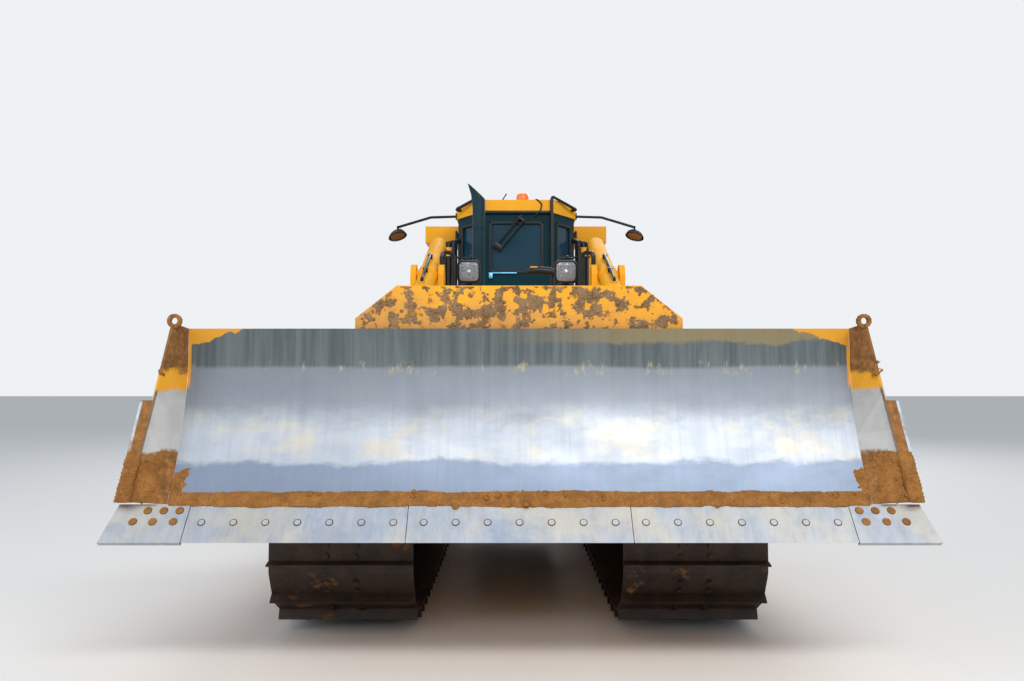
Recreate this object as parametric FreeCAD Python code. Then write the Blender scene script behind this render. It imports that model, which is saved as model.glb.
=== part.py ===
"""Wide-track crawler bulldozer with a raised straight-tilt blade, in millimetres.

The machine faces -Y, +X is to the right when it is looked at from the front, and +Z is up.
The origin is on the ground under the middle of its bounding box.
"""
import FreeCAD
import Part
import math
import os

from FreeCAD import Vector

# Undercarriage.
TRACK_HALF_GAUGE = 1115.0
SHOE_WIDTH = 910.0
SHOE_COUNT = 44
SHOE_PLATE = 16.0
GROUSER_HEIGHT = 66.0
LINK_HEIGHT = 112.0
LINK_RAIL_WIDTH = 52.0
LINK_RAIL_OFFSET = 92.0
IDLER_Y = -1530.0
SPROCKET_Y = 1800.0
IDLER_Z = 545.0
SPROCKET_Z = 560.0
WRAP_RADIUS = 520.0
GROUND_RUN_FRONT = -1190.0
GROUND_RUN_REAR = 1430.0
GROUND_BEND_RADIUS = 420.0
CARRIER_YS = (-560.0, 720.0)
CARRIER_RISE = 4.0
CARRIER_LIFT = 14.0
CARRIER_RADIUS = 85.0
ROLLER_COUNT = 7
ROLLER_RADIUS = 112.0
SPROCKET_TEETH = 13
SPROCKET_WIDTH = 76.0
SPROCKET_DRUM_HALF = 190.0
SPROCKET_DRUM_RADIUS = 215.0
TREAD_HALF = 118.0
IDLER_RECESS = 45.0
IDLER_HUB_RADIUS = 95.0
FLANGE_RISE = 22.0
FINAL_DRIVE_RADIUS = 250.0
PIVOT_SHAFT_RADIUS = 90.0
PIVOT_SHAFT_Y = 1120.0
PIVOT_SHAFT_Z = 560.0
SEAT_GAP = 0.3
DRUM_SIDES = 12
WHEEL_SIDES = 16
BAR_SIDES = 6
PIN_SIDES = 12
TRACK_FRAME_HALF = 150.0
FRAME_BEAM_FRONT = GROUND_RUN_FRONT + 10.0
FRAME_BEAM_REAR = GROUND_RUN_REAR - 35.0
FIRST_ROLLER_Y = FRAME_BEAM_FRONT + 100.0
LAST_ROLLER_Y = FRAME_BEAM_REAR - 150.0
SKIRT_THICK = 22.0
TRACK_FRAME_LOW = 400.0
TRACK_FRAME_HIGH = IDLER_Z + 115.0

# Blade and its linkage, in the raised place that the machine is parked in.
ARM_PIVOT_Y = 140.0
ARM_PIVOT_Z = 520.0
ARM_CLEARANCE = 40.0
ARM_WIDTH = 150.0
ARM_X = TRACK_HALF_GAUGE + SHOE_WIDTH / 2 + ARM_CLEARANCE + ARM_WIDTH / 2
ARM_DEPTH = 260.0
ARM_EYE_RADIUS = 150.0
ARM_PIN_RADIUS = 70.0
RUNNING_GAP = 0.5
EDGE_TIP_Y = -2940.0
EDGE_TIP_Z = 810.0
EDGE_TOP_Y = -2790.0
EDGE_TOP_Z = 985.0
EDGE_THICK = 25.0
EDGE_BEVEL = 30.0
EDGE_GAP = 2.0
BLADE_TOP_Y = -2510.0
BLADE_TOP_Z = 1940.0
BLADE_HOLLOW = 85.0
BLADE_THICK = 22.0
BLADE_OVERHANG = 125.0
BLADE_HALF = ARM_X + ARM_WIDTH / 2 + BLADE_OVERHANG
EDGE_HALF = BLADE_HALF - 132.0
EDGE_SPLIT = EDGE_HALF / 3 + 7.0
HEAD_TOP_SHARE = 0.97
RIB_THICK = 24.0
RIB_COUNT = 6
END_PLATE_THICK = 30.0
END_FLARE_FOOT = 200.0
END_FLARE_TOP = 25.0
END_PLATE_FOLDS = 5
END_BIT_HALF_LOW = EDGE_HALF + 429.0
END_BIT_HALF_HIGH = EDGE_HALF + 382.0
BRACE_RADIUS = 48.0
BRACE_FOOT_Y = -1400.0
BRACE_FOOT_Z = 831.0
# Thick part of a brace: where it starts and ends as shares of the length, and its radius.
TILT_BARREL = (0.20, 0.70, 72.0)
SCREW_SLEEVE = (0.34, 0.66, 66.0)
WEAR_STRIP_WIDTH = 70.0
WEAR_STRIP_THICK = 22.0
WEAR_STRIP_SHARE = 0.56
LIFTING_EYE_RADIUS = 40.0
LIFTING_EYE_BORE = 20.0
LIFTING_EYE_THICK = 24.0
SPILL_HALF_LOW = BLADE_HALF / 2
SPILL_HALF_HIGH = SPILL_HALF_LOW - 238.0
SPILL_TOP_Z = 2190.0
SPILL_SHOULDER_Z = 2000.0
SPILL_THICK = 16.0

# Lift cylinders.
LIFT_X = 630.0
TRUNNION_Y = -1410.0
TRUNNION_Z = 2375.0
ROD_EYE_Y = -2240.0
ROD_EYE_Z = 2030.0
BARREL_RADIUS = 63.0
BARREL_AHEAD = 500.0
BARREL_BEHIND = 900.0
BARREL_BORE = 38.0
BARREL_END = 25.0
COLLAR_HALF = 65.0
GLAND_LENGTH = 70.0
ROD_TAIL = 560.0
ROD_RADIUS = 35.0
ROD_EYE_RADIUS = 68.0
ROD_EYE_WIDTH = 80.0
LIFT_PIN_RADIUS = 32.0
YOKE_EAR_THICK = 38.0
YOKE_EAR_RADIUS = 76.0
YOKE_HALF_GAP = 78.0
YOKE_FRONT_Y = -1480.0
YOKE_REAR_Y = -1300.0
YOKE_LOW_Z = 2040.0
PIPE_FOOT_X = 455.0
PIPE_Y = -1360.0
PIPE_TOP_Z = 2540.0
PIPE_RADIUS = 16.0
ROD_EAR_THICK = 32.0

# Nose, hood and engine.
GUARD_FRONT_Y = -1560.0
GUARD_REAR_Y = -1290.0
GUARD_HALF = 512.0
GUARD_LOW = 640.0
GRILLE_HALF = 390.0
GRILLE_LOW_Z = 860.0
GRILLE_HIGH_Z = 2060.0
GRILLE_SLOTS = 15
GRILLE_BAR = 28.0
HOOD_TOP_Z = 2250.0
HOOD_HALF = 470.0
HOOD_REAR_Y = 395.0
HOOD_LOW_Z = 1180.0
HOOD_SHEET = 12.0
SHOULDER_RADIUS = 90.0

# Cab.
CAB_FRONT_Y = 440.0
CAB_SLANT_Y = 760.0
CAB_SIDE_REAR_Y = 1330.0
CAB_REAR_Y = 1590.0
CAB_FRONT_HALF = 335.0
CAB_HALF = 555.0
CAB_REAR_HALF = 480.0
CAB_FLOOR_Z = 1500.0
CAB_EAVES_Z = 3170.0
ROOF_HEIGHT = 120.0
CAB_TOP_Z = CAB_EAVES_Z + ROOF_HEIGHT
CAB_WALL = 45.0
PANE = 8.0
FRONT_WINDOW_HALF = 245.0
FRONT_WINDOW_LOW_Z = 2620.0
SLANT_WINDOW_MARGIN = 70.0
SLANT_WINDOW_LOW_Z = 2250.0
REAR_CORNER_MARGIN = 60.0
REAR_WINDOW_HALF = CAB_REAR_HALF - 80.0
REAR_WINDOW_LOW_Z = 2150.0
DOOR_STILE = 55.0
DOOR_WINDOW_LOW_Z = 2000.0
CAB_HINGE_ZS = (1800.0, 2800.0)
CAB_FLOOR_THICK = 40.0
SEAT_HALF = 250.0
SEAT_FRONT_Y = 960.0
SEAT_REAR_Y = 1400.0
SEAT_BASE_HEIGHT = 360.0
CUSHION_HEIGHT = 120.0
BACK_HEIGHT = 700.0
BACK_THICK = 110.0
ARMREST_INNER = SEAT_HALF + 40.0
ARMREST_OUTER = ARMREST_INNER + 110.0
ARMREST_HEIGHT = 640.0
CONSOLE_HALF = SEAT_HALF + 10.0
CONSOLE_FRONT_Y = CAB_FRONT_Y + 80.0
CONSOLE_SILL_Z = 2250.0
CONSOLE_TOP_Z = 2430.0

# Protection frame over the cab.
ROPS_FRONT_Y = 1400.0
ROPS_REAR_Y = 1800.0
ROPS_INNER = 562.0
ROPS_OUTER = 905.0
ROPS_LOW_Z = 3035.0
ROPS_HIGH_Z = 3205.0
POST_INNER = 650.0
POST_OUTER = 880.0
POST_DEPTH = 240.0

# Deck, tank and drawbar.
FENDER_TOP_Z = 1480.0
FENDER_LOW_Z = 1150.0
FENDER_OUTER = 1180.0
FENDER_FRONT_Y = 180.0
TANK_FRONT_Y = 1830.0
TANK_REAR_Y = 2560.0
TANK_HALF = 620.0
TANK_LOW_Z = 1000.0
TANK_TOP_Z = 2150.0
# Slanted rear corners of the tank: their depth and height at its top and at its foot.
TANK_BROW = (160.0, 200.0)
TANK_CHIN = (100.0, 150.0)
FRAME_HALF = 430.0
EQUALIZER_FRONT_Y = -760.0
EQUALIZER_REAR_Y = -580.0
EQUALIZER_TOP_Z = 700.0
EQUALIZER_CROWN_HALF = 300.0
FRAME_WALL = 40.0
FRAME_LOW_Z = 420.0
FRAME_CHIN_Y = -900.0
FRAME_CHIN_Z = 700.0
ENGINE_BAY_FRONT_Y = -1100.0
ENGINE_BAY_REAR_Y = 400.0
ENGINE_BAY_FLOOR_Z = 760.0
ENGINE_HALF = 300.0
ENGINE_TOP_Z = 1900.0
DRAWBAR_REAR_Y = 2940.0
DRAWBAR_PIN_RADIUS = 30.0
DRAWBAR_HALF = 90.0
DRAWBAR_PLATE = 40.0
DRAWBAR_LOW_Z = 560.0
DRAWBAR_GAP = 100.0
DRAWBAR_ROOT_HALF = 150.0
DRAWBAR_ROOT_REAR_Y = 2400.0

# Exhaust, lamps and beacon.
EXHAUST_X = -290.0
EXHAUST_Y = -660.0
EXHAUST_RADIUS = 58.0
ELBOW_Z = 2990.0
PIPE_SIDES = 24
LAMP_X = 355.0
LAMP_Y = -1160.0
LAMP_Z = 2430.0
LAMP_HALF = 72.0
ARM_LAMP_X = 1135.0
ARM_LAMP_Y = 775.0
ARM_LAMP_Z = 3005.0
ARM_LAMP_HALF = 80.0
ARM_ROOT_Z = CAB_EAVES_Z + 45.0
GRAB_RAIL_X = 325.0
GRAB_RAIL_REACH = 48.0
GRAB_RAIL_RADIUS = 15.0
ROOF_OVERHANG = 18.0
ROOF_SIDE = CAB_HALF + ROOF_OVERHANG
BEACON_X = 60.0
BEACON_Y = CAB_FRONT_Y + 170.0
BEACON_RADIUS = 62.0
BEACON_HEIGHT = 60.0

SIDES = (("left", -1.0), ("right", 1.0))


def box(x0, x1, y0, y1, z0, z1):
    """Block between two corners."""
    return Part.makeBox(x1 - x0, y1 - y0, z1 - z0, Vector(x0, y0, z0))


def centred_box(x, y, z, width, depth, height):
    """Block about its centre."""
    return box(x - width / 2, x + width / 2, y - depth / 2, y + depth / 2, z - height / 2, z + height / 2)


def face_of(points):
    """Flat face inside a closed outline."""
    return Part.Face(Part.makePolygon(list(points) + [points[0]]))


def prism_x(outline, x0, x1):
    """Side view outline of (y, z) pairs, carried from x0 to x1."""
    return face_of([Vector(x0, y, z) for y, z in outline]).extrude(Vector(x1 - x0, 0, 0))


def prism_y(outline, y0, y1):
    """Front view outline of (x, z) pairs, carried from y0 to y1."""
    return face_of([Vector(x, y0, z) for x, z in outline]).extrude(Vector(0, y1 - y0, 0))


def prism_z(outline, z0, z1):
    """Plan outline of (x, y) pairs, carried from z0 to z1."""
    return face_of([Vector(x, y, z0) for x, y in outline]).extrude(Vector(0, 0, z1 - z0))


def rod_x(x0, x1, y, z, radius):
    """Round bar across the machine."""
    return Part.makeCylinder(radius, x1 - x0, Vector(x0, y, z), Vector(1, 0, 0))



def flats(y, z, radius, sides, around=False):
    """Corners of a regular outline with a flat at its foot, inside a circle or else around it."""
    size = radius / math.cos(math.pi / sides) if around else radius
    turns = [2 * math.pi * (side + 0.5) / sides - math.pi / 2 for side in range(sides)]
    return [(y + size * math.cos(turn), z + size * math.sin(turn)) for turn in turns]


def drum_x(x0, x1, y, z, radius, sides=DRUM_SIDES, around=False):
    """Turned piece across the machine, drawn with flats where many such pieces repeat."""
    return prism_x(flats(y, z, radius, sides, around), x0, x1)


def arc_points(y, z, radius, start, end, steps):
    """Side view points on an arc between two angles in degrees."""
    turns = [math.radians(start + (end - start) * step / steps) for step in range(steps + 1)]
    return [(y + radius * math.cos(turn), z + radius * math.sin(turn)) for turn in turns]


def ring_about(point, way, radius, sides):
    """Corners of a regular outline square to a direction."""
    across = way.cross(Vector(1, 0, 0) if abs(way.x) < 0.9 else Vector(0, 1, 0)).normalize()
    up = way.cross(across)
    turns = [2 * math.pi * (side + 0.5) / sides for side in range(sides)]
    return [point + across * (radius * math.cos(turn)) + up * (radius * math.sin(turn)) for turn in turns]


def bar_between(start, end, radius, sides=BAR_SIDES):
    """Straight bar with flats from one point to another."""
    start, end = Vector(*start), Vector(*end)
    way = (end - start).normalize()
    return face_of(ring_about(start, way, radius, sides)).extrude(end - start)


def eased(points, bend):
    """Path whose corners are each cut by two short runs that follow a bend."""
    points = [Vector(*point) for point in points]
    path = [points[0]]
    for before, corner, after in zip(points, points[1:], points[2:]):
        into = (corner - before).normalize()
        out = (after - corner).normalize()
        half_turn = into.getAngle(out) / 2
        reach = bend * math.tan(half_turn)
        middle = corner + (out - into).normalize() * (bend / math.cos(half_turn) - bend)
        path += [corner - into * reach, middle, corner + out * reach]
    return path + [points[-1]]


def skinned(rings):
    """Solid through rings of equal count whose matching sides are parallel."""
    faces = [face_of(rings[0]), face_of(rings[-1])]
    for ring, onward in zip(rings, rings[1:]):
        count = len(ring)
        for side in range(count):
            beside = (side + 1) % count
            faces.append(face_of([ring[side], ring[beside], onward[beside], onward[side]]))
    return Part.makeSolid(Part.makeShell(faces))


def bent_bar(points, radius, bend, sides=BAR_SIDES):
    """Bar with flats along straight runs, mitred where it bends."""
    path = eased(points, bend)
    rings = [ring_about(path[0], (path[1] - path[0]).normalize(), radius, sides)]
    for index in range(1, len(path)):
        way = (path[index] - path[index - 1]).normalize()
        onward = (path[index + 1] - path[index]).normalize() if index + 1 < len(path) else way
        mitre = way + onward
        rings.append([point + way * ((path[index] - point).dot(mitre) / way.dot(mitre)) for point in rings[-1]])
    return skinned(rings)


def mirrored(shape):
    """The same piece on the machine's other side."""
    return shape.mirror(Vector(0, 0, 0), Vector(1, 0, 0))


def both_sides(shape):
    """A piece and its mirror image, as separate solids."""
    return [shape, mirrored(shape)]


def joined(shapes):
    """One solid from pieces that are welded together."""
    first, rest = shapes[0], shapes[1:]
    return first.fuse(rest).removeSplitter() if rest else first


def save(node, shapes):
    """Writes one node, of one solid or of several that don't touch."""
    shapes = shapes if isinstance(shapes, list) else [shapes]
    solids = [solid for shape in shapes for solid in shape.Solids]
    shape = solids[0] if len(solids) == 1 else Part.makeCompound(solids)
    shape.exportStep("parts/" + node + ".step")



def belt_path(circles):
    """Closed belt round circles of (y, z, radius), as straight runs and arcs taken in turn."""
    runs = []
    count = len(circles)
    for index in range(count):
        y0, z0, r0 = circles[index]
        y1, z1, r1 = circles[(index + 1) % count]
        span = math.hypot(y1 - y0, z1 - z0)
        heading = math.atan2(z1 - z0, y1 - y0)
        tilt = math.asin((r0 - r1) / span)
        normal = heading - math.pi / 2 + tilt
        start = (y0 + r0 * math.cos(normal), z0 + r0 * math.sin(normal))
        end = (y1 + r1 * math.cos(normal), z1 + r1 * math.sin(normal))
        runs.append((start, end, normal))
    pieces = []
    for index, (start, end, normal) in enumerate(runs):
        pieces.append(("line", start, end))
        y1, z1, r1 = circles[(index + 1) % count]
        turn = (runs[(index + 1) % count][2] - normal) % (2 * math.pi)
        pieces.append(("arc", (y1, z1, r1), normal, turn))
    return pieces


def points_along(pieces, count):
    """Evenly spaced points along a closed belt."""
    lengths = [math.dist(p[1], p[2]) if p[0] == "line" else p[1][2] * p[3] for p in pieces]
    step = sum(lengths) / count
    points = []
    passed = 0.0
    for piece, length in zip(pieces, lengths):
        while len(points) < count and len(points) * step <= passed + length:
            along = len(points) * step - passed
            if piece[0] == "line":
                (y0, z0), (y1, z1) = piece[1], piece[2]
                share = along / length
                points.append((y0 + (y1 - y0) * share, z0 + (z1 - z0) * share))
            else:
                (y, z, radius), normal = piece[1], piece[2]
                angle = normal + along / radius
                points.append((y + radius * math.cos(angle), z + radius * math.sin(angle)))
        passed += length
    return points


LINK_HALF = LINK_HEIGHT / 2
SHOE_STACK = LINK_HALF + SHOE_PLATE + GROUSER_HEIGHT
PIN_WRAP = WRAP_RADIUS - SHOE_STACK
RAIL_Z = GROUSER_HEIGHT + SHOE_PLATE + LINK_HEIGHT
PIN_Z = RAIL_Z - LINK_HALF
ROLLER_Z = RAIL_Z + ROLLER_RADIUS + SEAT_GAP


def carrier_z(y):
    """Height of a carrier roller that lifts the chain a little above its straight top run."""
    rise = (SPROCKET_Z - IDLER_Z) * (y - IDLER_Y) / (SPROCKET_Y - IDLER_Y)
    return IDLER_Z + rise + PIN_WRAP + CARRIER_LIFT - CARRIER_RADIUS - LINK_HALF - CARRIER_RISE


def track_pins():
    """Pin centres of the closed chain, in side view."""
    bend_z = PIN_Z + GROUND_BEND_RADIUS
    carrier_wrap = CARRIER_RADIUS + LINK_HALF + CARRIER_RISE
    front, rear = CARRIER_YS
    circles = [(GROUND_RUN_FRONT, bend_z, GROUND_BEND_RADIUS), (GROUND_RUN_REAR, bend_z, GROUND_BEND_RADIUS),
               (SPROCKET_Y, SPROCKET_Z, PIN_WRAP), (rear, carrier_z(rear), carrier_wrap),
               (front, carrier_z(front), carrier_wrap), (IDLER_Y, IDLER_Z, PIN_WRAP)]
    return points_along(belt_path(circles), SHOE_COUNT)


def shoe_outline(start, end):
    """One single-grouser shoe between two pins: overlapping lip, flat plate, tapered grouser."""
    pitch = math.dist(start, end)
    along = ((end[0] - start[0]) / pitch, (end[1] - start[1]) / pitch)
    out = (along[1], -along[0])
    plate = LINK_HALF + SHOE_PLATE
    tip = plate + GROUSER_HEIGHT
    stations = ((0.0, plate - 7), (0.60, plate), (0.655, tip), (0.705, tip), (0.76, plate), (0.97, plate))
    return [(start[0] + along[0] * share * pitch + out[0] * height,
             start[1] + along[1] * share * pitch + out[1] * height) for share, height in stations]


def offset_loop(pins, height):
    """The pins' loop moved outwards by a height, along the bisector at each pin."""
    loop = []
    count = len(pins)
    for index, pin in enumerate(pins):
        before, after = pins[index - 1], pins[(index + 1) % count]
        dy, dz = after[0] - before[0], after[1] - before[1]
        size = math.hypot(dy, dz)
        loop.append((pin[0] + dz / size * height, pin[1] - dy / size * height))
    return loop


def track(centre_x):
    """Closed track: shoe ring with its grousers, on two rows of links."""
    pins = track_pins()
    outer = [p for index in range(SHOE_COUNT) for p in shoe_outline(pins[index], pins[(index + 1) % SHOE_COUNT])]
    shoe_inner = offset_loop(pins, LINK_HALF)
    rail_inner = offset_loop(pins, -LINK_HALF)
    half = SHOE_WIDTH / 2
    ring = prism_x(outer, centre_x - half, centre_x + half)
    ring = ring.cut(prism_x(shoe_inner, centre_x - half - 1, centre_x + half + 1))
    rails = []
    for side in (-1, 1):
        low = centre_x + side * LINK_RAIL_OFFSET - LINK_RAIL_WIDTH / 2
        rail = prism_x(shoe_inner, low, low + LINK_RAIL_WIDTH)
        rails.append(rail.cut(prism_x(rail_inner, low - 1, low + LINK_RAIL_WIDTH + 1)))
    return joined([ring] + rails)


def chord_radius():
    """Inside radius of the polygon that the rails make round the idler and sprocket."""
    pitch = math.dist(*track_pins()[:2])
    return math.sqrt(PIN_WRAP ** 2 - (pitch / 2) ** 2) - LINK_HALF


def sprocket(centre_x):
    """Toothed ring, web and hub of the track drive, turned at the middle of the track."""
    root = PIN_WRAP - 62.0
    crest = PIN_WRAP + 10.0
    outline = []
    for tooth in range(SPROCKET_TEETH):
        for share, radius in ((0.0, root), (0.32, crest), (0.50, crest), (0.82, root)):
            angle = 2 * math.pi * (tooth + share) / SPROCKET_TEETH
            outline.append((SPROCKET_Y + radius * math.cos(angle), SPROCKET_Z + radius * math.sin(angle)))
    half = SPROCKET_WIDTH / 2
    teeth = prism_x(outline, centre_x - half, centre_x + half)
    reach = SPROCKET_DRUM_HALF
    drum = drum_x(centre_x - reach, centre_x + reach, SPROCKET_Y, SPROCKET_Z, SPROCKET_DRUM_RADIUS, WHEEL_SIDES)
    return joined([teeth, drum])


def flange_half():
    """Half the width of the flange that runs between the two link rails."""
    return LINK_RAIL_OFFSET - LINK_RAIL_WIDTH / 2 - 4


def idler(centre_x):
    """Front idler: tread with a raised flange between the rails, recessed webs and hubs."""
    tread = chord_radius() - SEAT_GAP
    wheel = drum_x(centre_x - TREAD_HALF, centre_x + TREAD_HALF, IDLER_Y, IDLER_Z, tread, WHEEL_SIDES)
    reach = flange_half()
    flange = drum_x(centre_x - reach, centre_x + reach, IDLER_Y, IDLER_Z, tread + FLANGE_RISE, WHEEL_SIDES)
    wheel = wheel.fuse(flange)
    for side in (-1, 1):
        x0, x1 = sorted((centre_x + side * (TREAD_HALF - IDLER_RECESS), centre_x + side * (TREAD_HALF + 1)))
        dish = drum_x(x0, x1, IDLER_Y, IDLER_Z, tread - 60, WHEEL_SIDES)
        hub = drum_x(x0, x1, IDLER_Y, IDLER_Z, IDLER_HUB_RADIUS, BAR_SIDES)
        wheel = wheel.cut(dish.cut(hub))
    return wheel


def track_roller(centre_x, y):
    """Bottom roller: a tread on the two rails, held between the frame's skirts."""
    half = TRACK_FRAME_HALF - SKIRT_THICK - SEAT_GAP
    return drum_x(centre_x - half, centre_x + half, y, ROLLER_Z, ROLLER_RADIUS, around=True)


def track_frame(centre_x):
    """Roller frame: box beam with skirts down to the roller shafts, idler yoke and carrier posts."""
    low = RAIL_Z + 2 * ROLLER_RADIUS + 26
    half = TRACK_FRAME_HALF
    skirt = SKIRT_THICK
    beam = box(centre_x - half, centre_x + half, FRAME_BEAM_FRONT, FRAME_BEAM_REAR, low, TRACK_FRAME_HIGH)
    pieces = [beam]
    for side in (-1, 1):
        face = centre_x + side * half
        x0, x1 = sorted((face, face - side * skirt))
        pieces.append(box(x0, x1, FRAME_BEAM_FRONT, FRAME_BEAM_REAR, ROLLER_Z - 10, low))
        yoke = [(FRAME_BEAM_FRONT + 1, TRACK_FRAME_HIGH), (IDLER_Y - 60, IDLER_Z + 62), (IDLER_Y - 90, IDLER_Z),
                (IDLER_Y - 60, IDLER_Z - 62), (FRAME_BEAM_FRONT + 1, low)]
        pieces.append(prism_x(yoke, x0, x1))
        for y in CARRIER_YS:
            top = carrier_z(y) + 40
            post = [(y - 95, TRACK_FRAME_HIGH), (y + 95, TRACK_FRAME_HIGH), (y + 45, top), (y - 45, top)]
            pieces.append(prism_x(post, x0, x1))
    return joined(pieces)


def push_arm_trunnion():
    """Outboard bracket on the track frame that carries the push arm's rear pin."""
    root = TRACK_HALF_GAUGE + TRACK_FRAME_HALF
    end = ARM_X - ARM_WIDTH / 2 - 12
    block = [(ARM_PIVOT_Y - 190, ARM_PIVOT_Z - 75), (ARM_PIVOT_Y + 190, ARM_PIVOT_Z - 75),
             (ARM_PIVOT_Y + 120, ARM_PIVOT_Z + 105), (ARM_PIVOT_Y - 120, ARM_PIVOT_Z + 105)]
    bracket = prism_x(block, root, end)
    face = ARM_X + ARM_WIDTH / 2 + 12
    pin = drum_x(end, face + 8, ARM_PIVOT_Y, ARM_PIVOT_Z, ARM_PIN_RADIUS - RUNNING_GAP, WHEEL_SIDES)
    cap = drum_x(face, face + 20, ARM_PIVOT_Y, ARM_PIVOT_Z, ARM_PIN_RADIUS + 35, WHEEL_SIDES)
    return [bracket, pin, cap]


def make_undercarriage():
    """Tracks, rollers, idlers, sprockets, frames and the two bars that carry the machine on them."""
    for name, side in SIDES:
        save("track_" + name, track(side * TRACK_HALF_GAUGE))
    save("sprockets", both_sides(sprocket(TRACK_HALF_GAUGE)))
    half = TRACK_FRAME_HALF - SKIRT_THICK
    x0, x1 = TRACK_HALF_GAUGE - half, TRACK_HALF_GAUGE + half
    shaft = drum_x(x0, x1, IDLER_Y, IDLER_Z, 48, BAR_SIDES)
    save("idlers", both_sides(joined([idler(TRACK_HALF_GAUGE), shaft])))
    pitch = (LAST_ROLLER_Y - FIRST_ROLLER_Y) / (ROLLER_COUNT - 1)
    rollers = []
    for index in range(ROLLER_COUNT):
        rollers += both_sides(track_roller(TRACK_HALF_GAUGE, FIRST_ROLLER_Y + index * pitch))
    save("track_rollers", rollers)
    carriers = []
    for y in CARRIER_YS:
        carriers += both_sides(drum_x(x0, x1, y, carrier_z(y), CARRIER_RADIUS))
    save("carrier_rollers", carriers)
    frame = joined([track_frame(TRACK_HALF_GAUGE)] + push_arm_trunnion())
    save("track_frames", both_sides(frame))
    inner = TRACK_HALF_GAUGE - TRACK_FRAME_HALF
    low, high, crown = FRAME_LOW_Z, EQUALIZER_TOP_Z, EQUALIZER_CROWN_HALF
    bar = [(-inner, low + 60), (-FRAME_HALF, low), (FRAME_HALF, low), (inner, low + 60), (inner, high - 80), (crown, high),
           (-crown, high), (-inner, high - 80)]
    save("equalizer_bar", prism_y(bar, EQUALIZER_FRONT_Y, EQUALIZER_REAR_Y))
    save("pivot_shafts", both_sides(drum_x(FRAME_HALF, inner, PIVOT_SHAFT_Y, PIVOT_SHAFT_Z, PIVOT_SHAFT_RADIUS, WHEEL_SIDES)))
    case_end = TRACK_HALF_GAUGE - SPROCKET_DRUM_HALF
    save("final_drives", both_sides(drum_x(FRAME_HALF, case_end, SPROCKET_Y, SPROCKET_Z, FINAL_DRIVE_RADIUS, WHEEL_SIDES)))


def make_main_frame():
    """Welded main frame, its belly and the drawbar."""
    wall = FRAME_WALL
    nose, rear, top, low = GUARD_REAR_Y, TANK_FRONT_Y, FENDER_LOW_Z, FRAME_LOW_Z
    outline = [(nose, FRAME_CHIN_Z), (nose, top), (rear, top), (rear, low), (FRAME_CHIN_Y, low)]
    block = prism_x(outline, -FRAME_HALF, FRAME_HALF)
    hollow = box(-FRAME_HALF + wall, FRAME_HALF - wall, ENGINE_BAY_FRONT_Y, ENGINE_BAY_REAR_Y, ENGINE_BAY_FLOOR_Z, top + 50)
    bar_room = box(-FRAME_HALF - 1, FRAME_HALF + 1, EQUALIZER_FRONT_Y - 20, EQUALIZER_REAR_Y + 20, low - 20, EQUALIZER_TOP_Z + 30)
    save("main_frame", block.cut(hollow).cut(bar_room))
    save("engine_block", box(-ENGINE_HALF, ENGINE_HALF, ENGINE_BAY_FRONT_Y + 50, ENGINE_BAY_REAR_Y - 70,
                             ENGINE_BAY_FLOOR_Z + SEAT_GAP, ENGINE_TOP_Z))
    half, start, end = DRAWBAR_HALF, DRAWBAR_ROOT_REAR_Y - 100, DRAWBAR_REAR_Y
    under, over = DRAWBAR_LOW_Z, DRAWBAR_LOW_Z + DRAWBAR_PLATE + DRAWBAR_GAP
    tongue = box(-half, half, start, end, under, under + DRAWBAR_PLATE)
    upper = box(-half, half, start, end, over, over + DRAWBAR_PLATE)
    root = prism_x([(rear, under - 80), (DRAWBAR_ROOT_REAR_Y, under - 40), (DRAWBAR_ROOT_REAR_Y, over + DRAWBAR_PLATE + 40),
                    (rear, over + 200)], -DRAWBAR_ROOT_HALF, DRAWBAR_ROOT_HALF)
    hitch = joined([root, tongue, upper])
    pin = Part.makeCylinder(DRAWBAR_PIN_RADIUS, over + DRAWBAR_PLATE - under + 60, Vector(0, end - 90, under - 40))
    save("drawbar", hitch.cut(pin))


def arc_frame():
    """Centre, radius and end angles of the moldboard's hollow face in side view."""
    dy, dz = BLADE_TOP_Y - EDGE_TOP_Y, BLADE_TOP_Z - EDGE_TOP_Z
    chord = math.hypot(dy, dz)
    radius = chord ** 2 / (8 * BLADE_HOLLOW) + BLADE_HOLLOW / 2
    mid = ((BLADE_TOP_Y + EDGE_TOP_Y) / 2, (BLADE_TOP_Z + EDGE_TOP_Z) / 2)
    centre = (mid[0] - dz / chord * (radius - BLADE_HOLLOW), mid[1] + dy / chord * (radius - BLADE_HOLLOW))
    low = math.atan2(EDGE_TOP_Z - centre[1], EDGE_TOP_Y - centre[0])
    high = math.atan2(BLADE_TOP_Z - centre[1], BLADE_TOP_Y - centre[0])
    return centre, radius, low, high


def on_blade(share, behind):
    """Side view point at a share of the moldboard's height and a distance behind its face."""
    centre, radius, low, high = arc_frame()
    angle = low + (high - low) * share
    return (centre[0] + (radius + behind) * math.cos(angle), centre[1] + (radius + behind) * math.sin(angle))


def blade_strip(share0, share1, front, back, x0, x1):
    """Curved plate that follows the moldboard between two heights and two depths."""
    def at(share, behind):
        y, z = on_blade(share, behind)
        return Vector(x0, y, z)
    middle = (share0 + share1) / 2
    edges = [Part.Arc(at(share0, front), at(middle, front), at(share1, front)).toShape(),
             Part.makeLine(at(share1, front), at(share1, back)),
             Part.Arc(at(share1, back), at(middle, back), at(share0, back)).toShape(),
             Part.makeLine(at(share0, back), at(share0, front))]
    return Part.Face(Part.Wire(edges)).extrude(Vector(x1 - x0, 0, 0))


def edge_point(down, behind):
    """Side view point a distance down the cutting edge's face and a distance behind it."""
    dy, dz = EDGE_TIP_Y - EDGE_TOP_Y, EDGE_TIP_Z - EDGE_TOP_Z
    size = math.hypot(dy, dz)
    dy, dz = dy / size, dz / size
    return (EDGE_TOP_Y + dy * down - dz * behind, EDGE_TOP_Z + dz * down + dy * behind)


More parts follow.
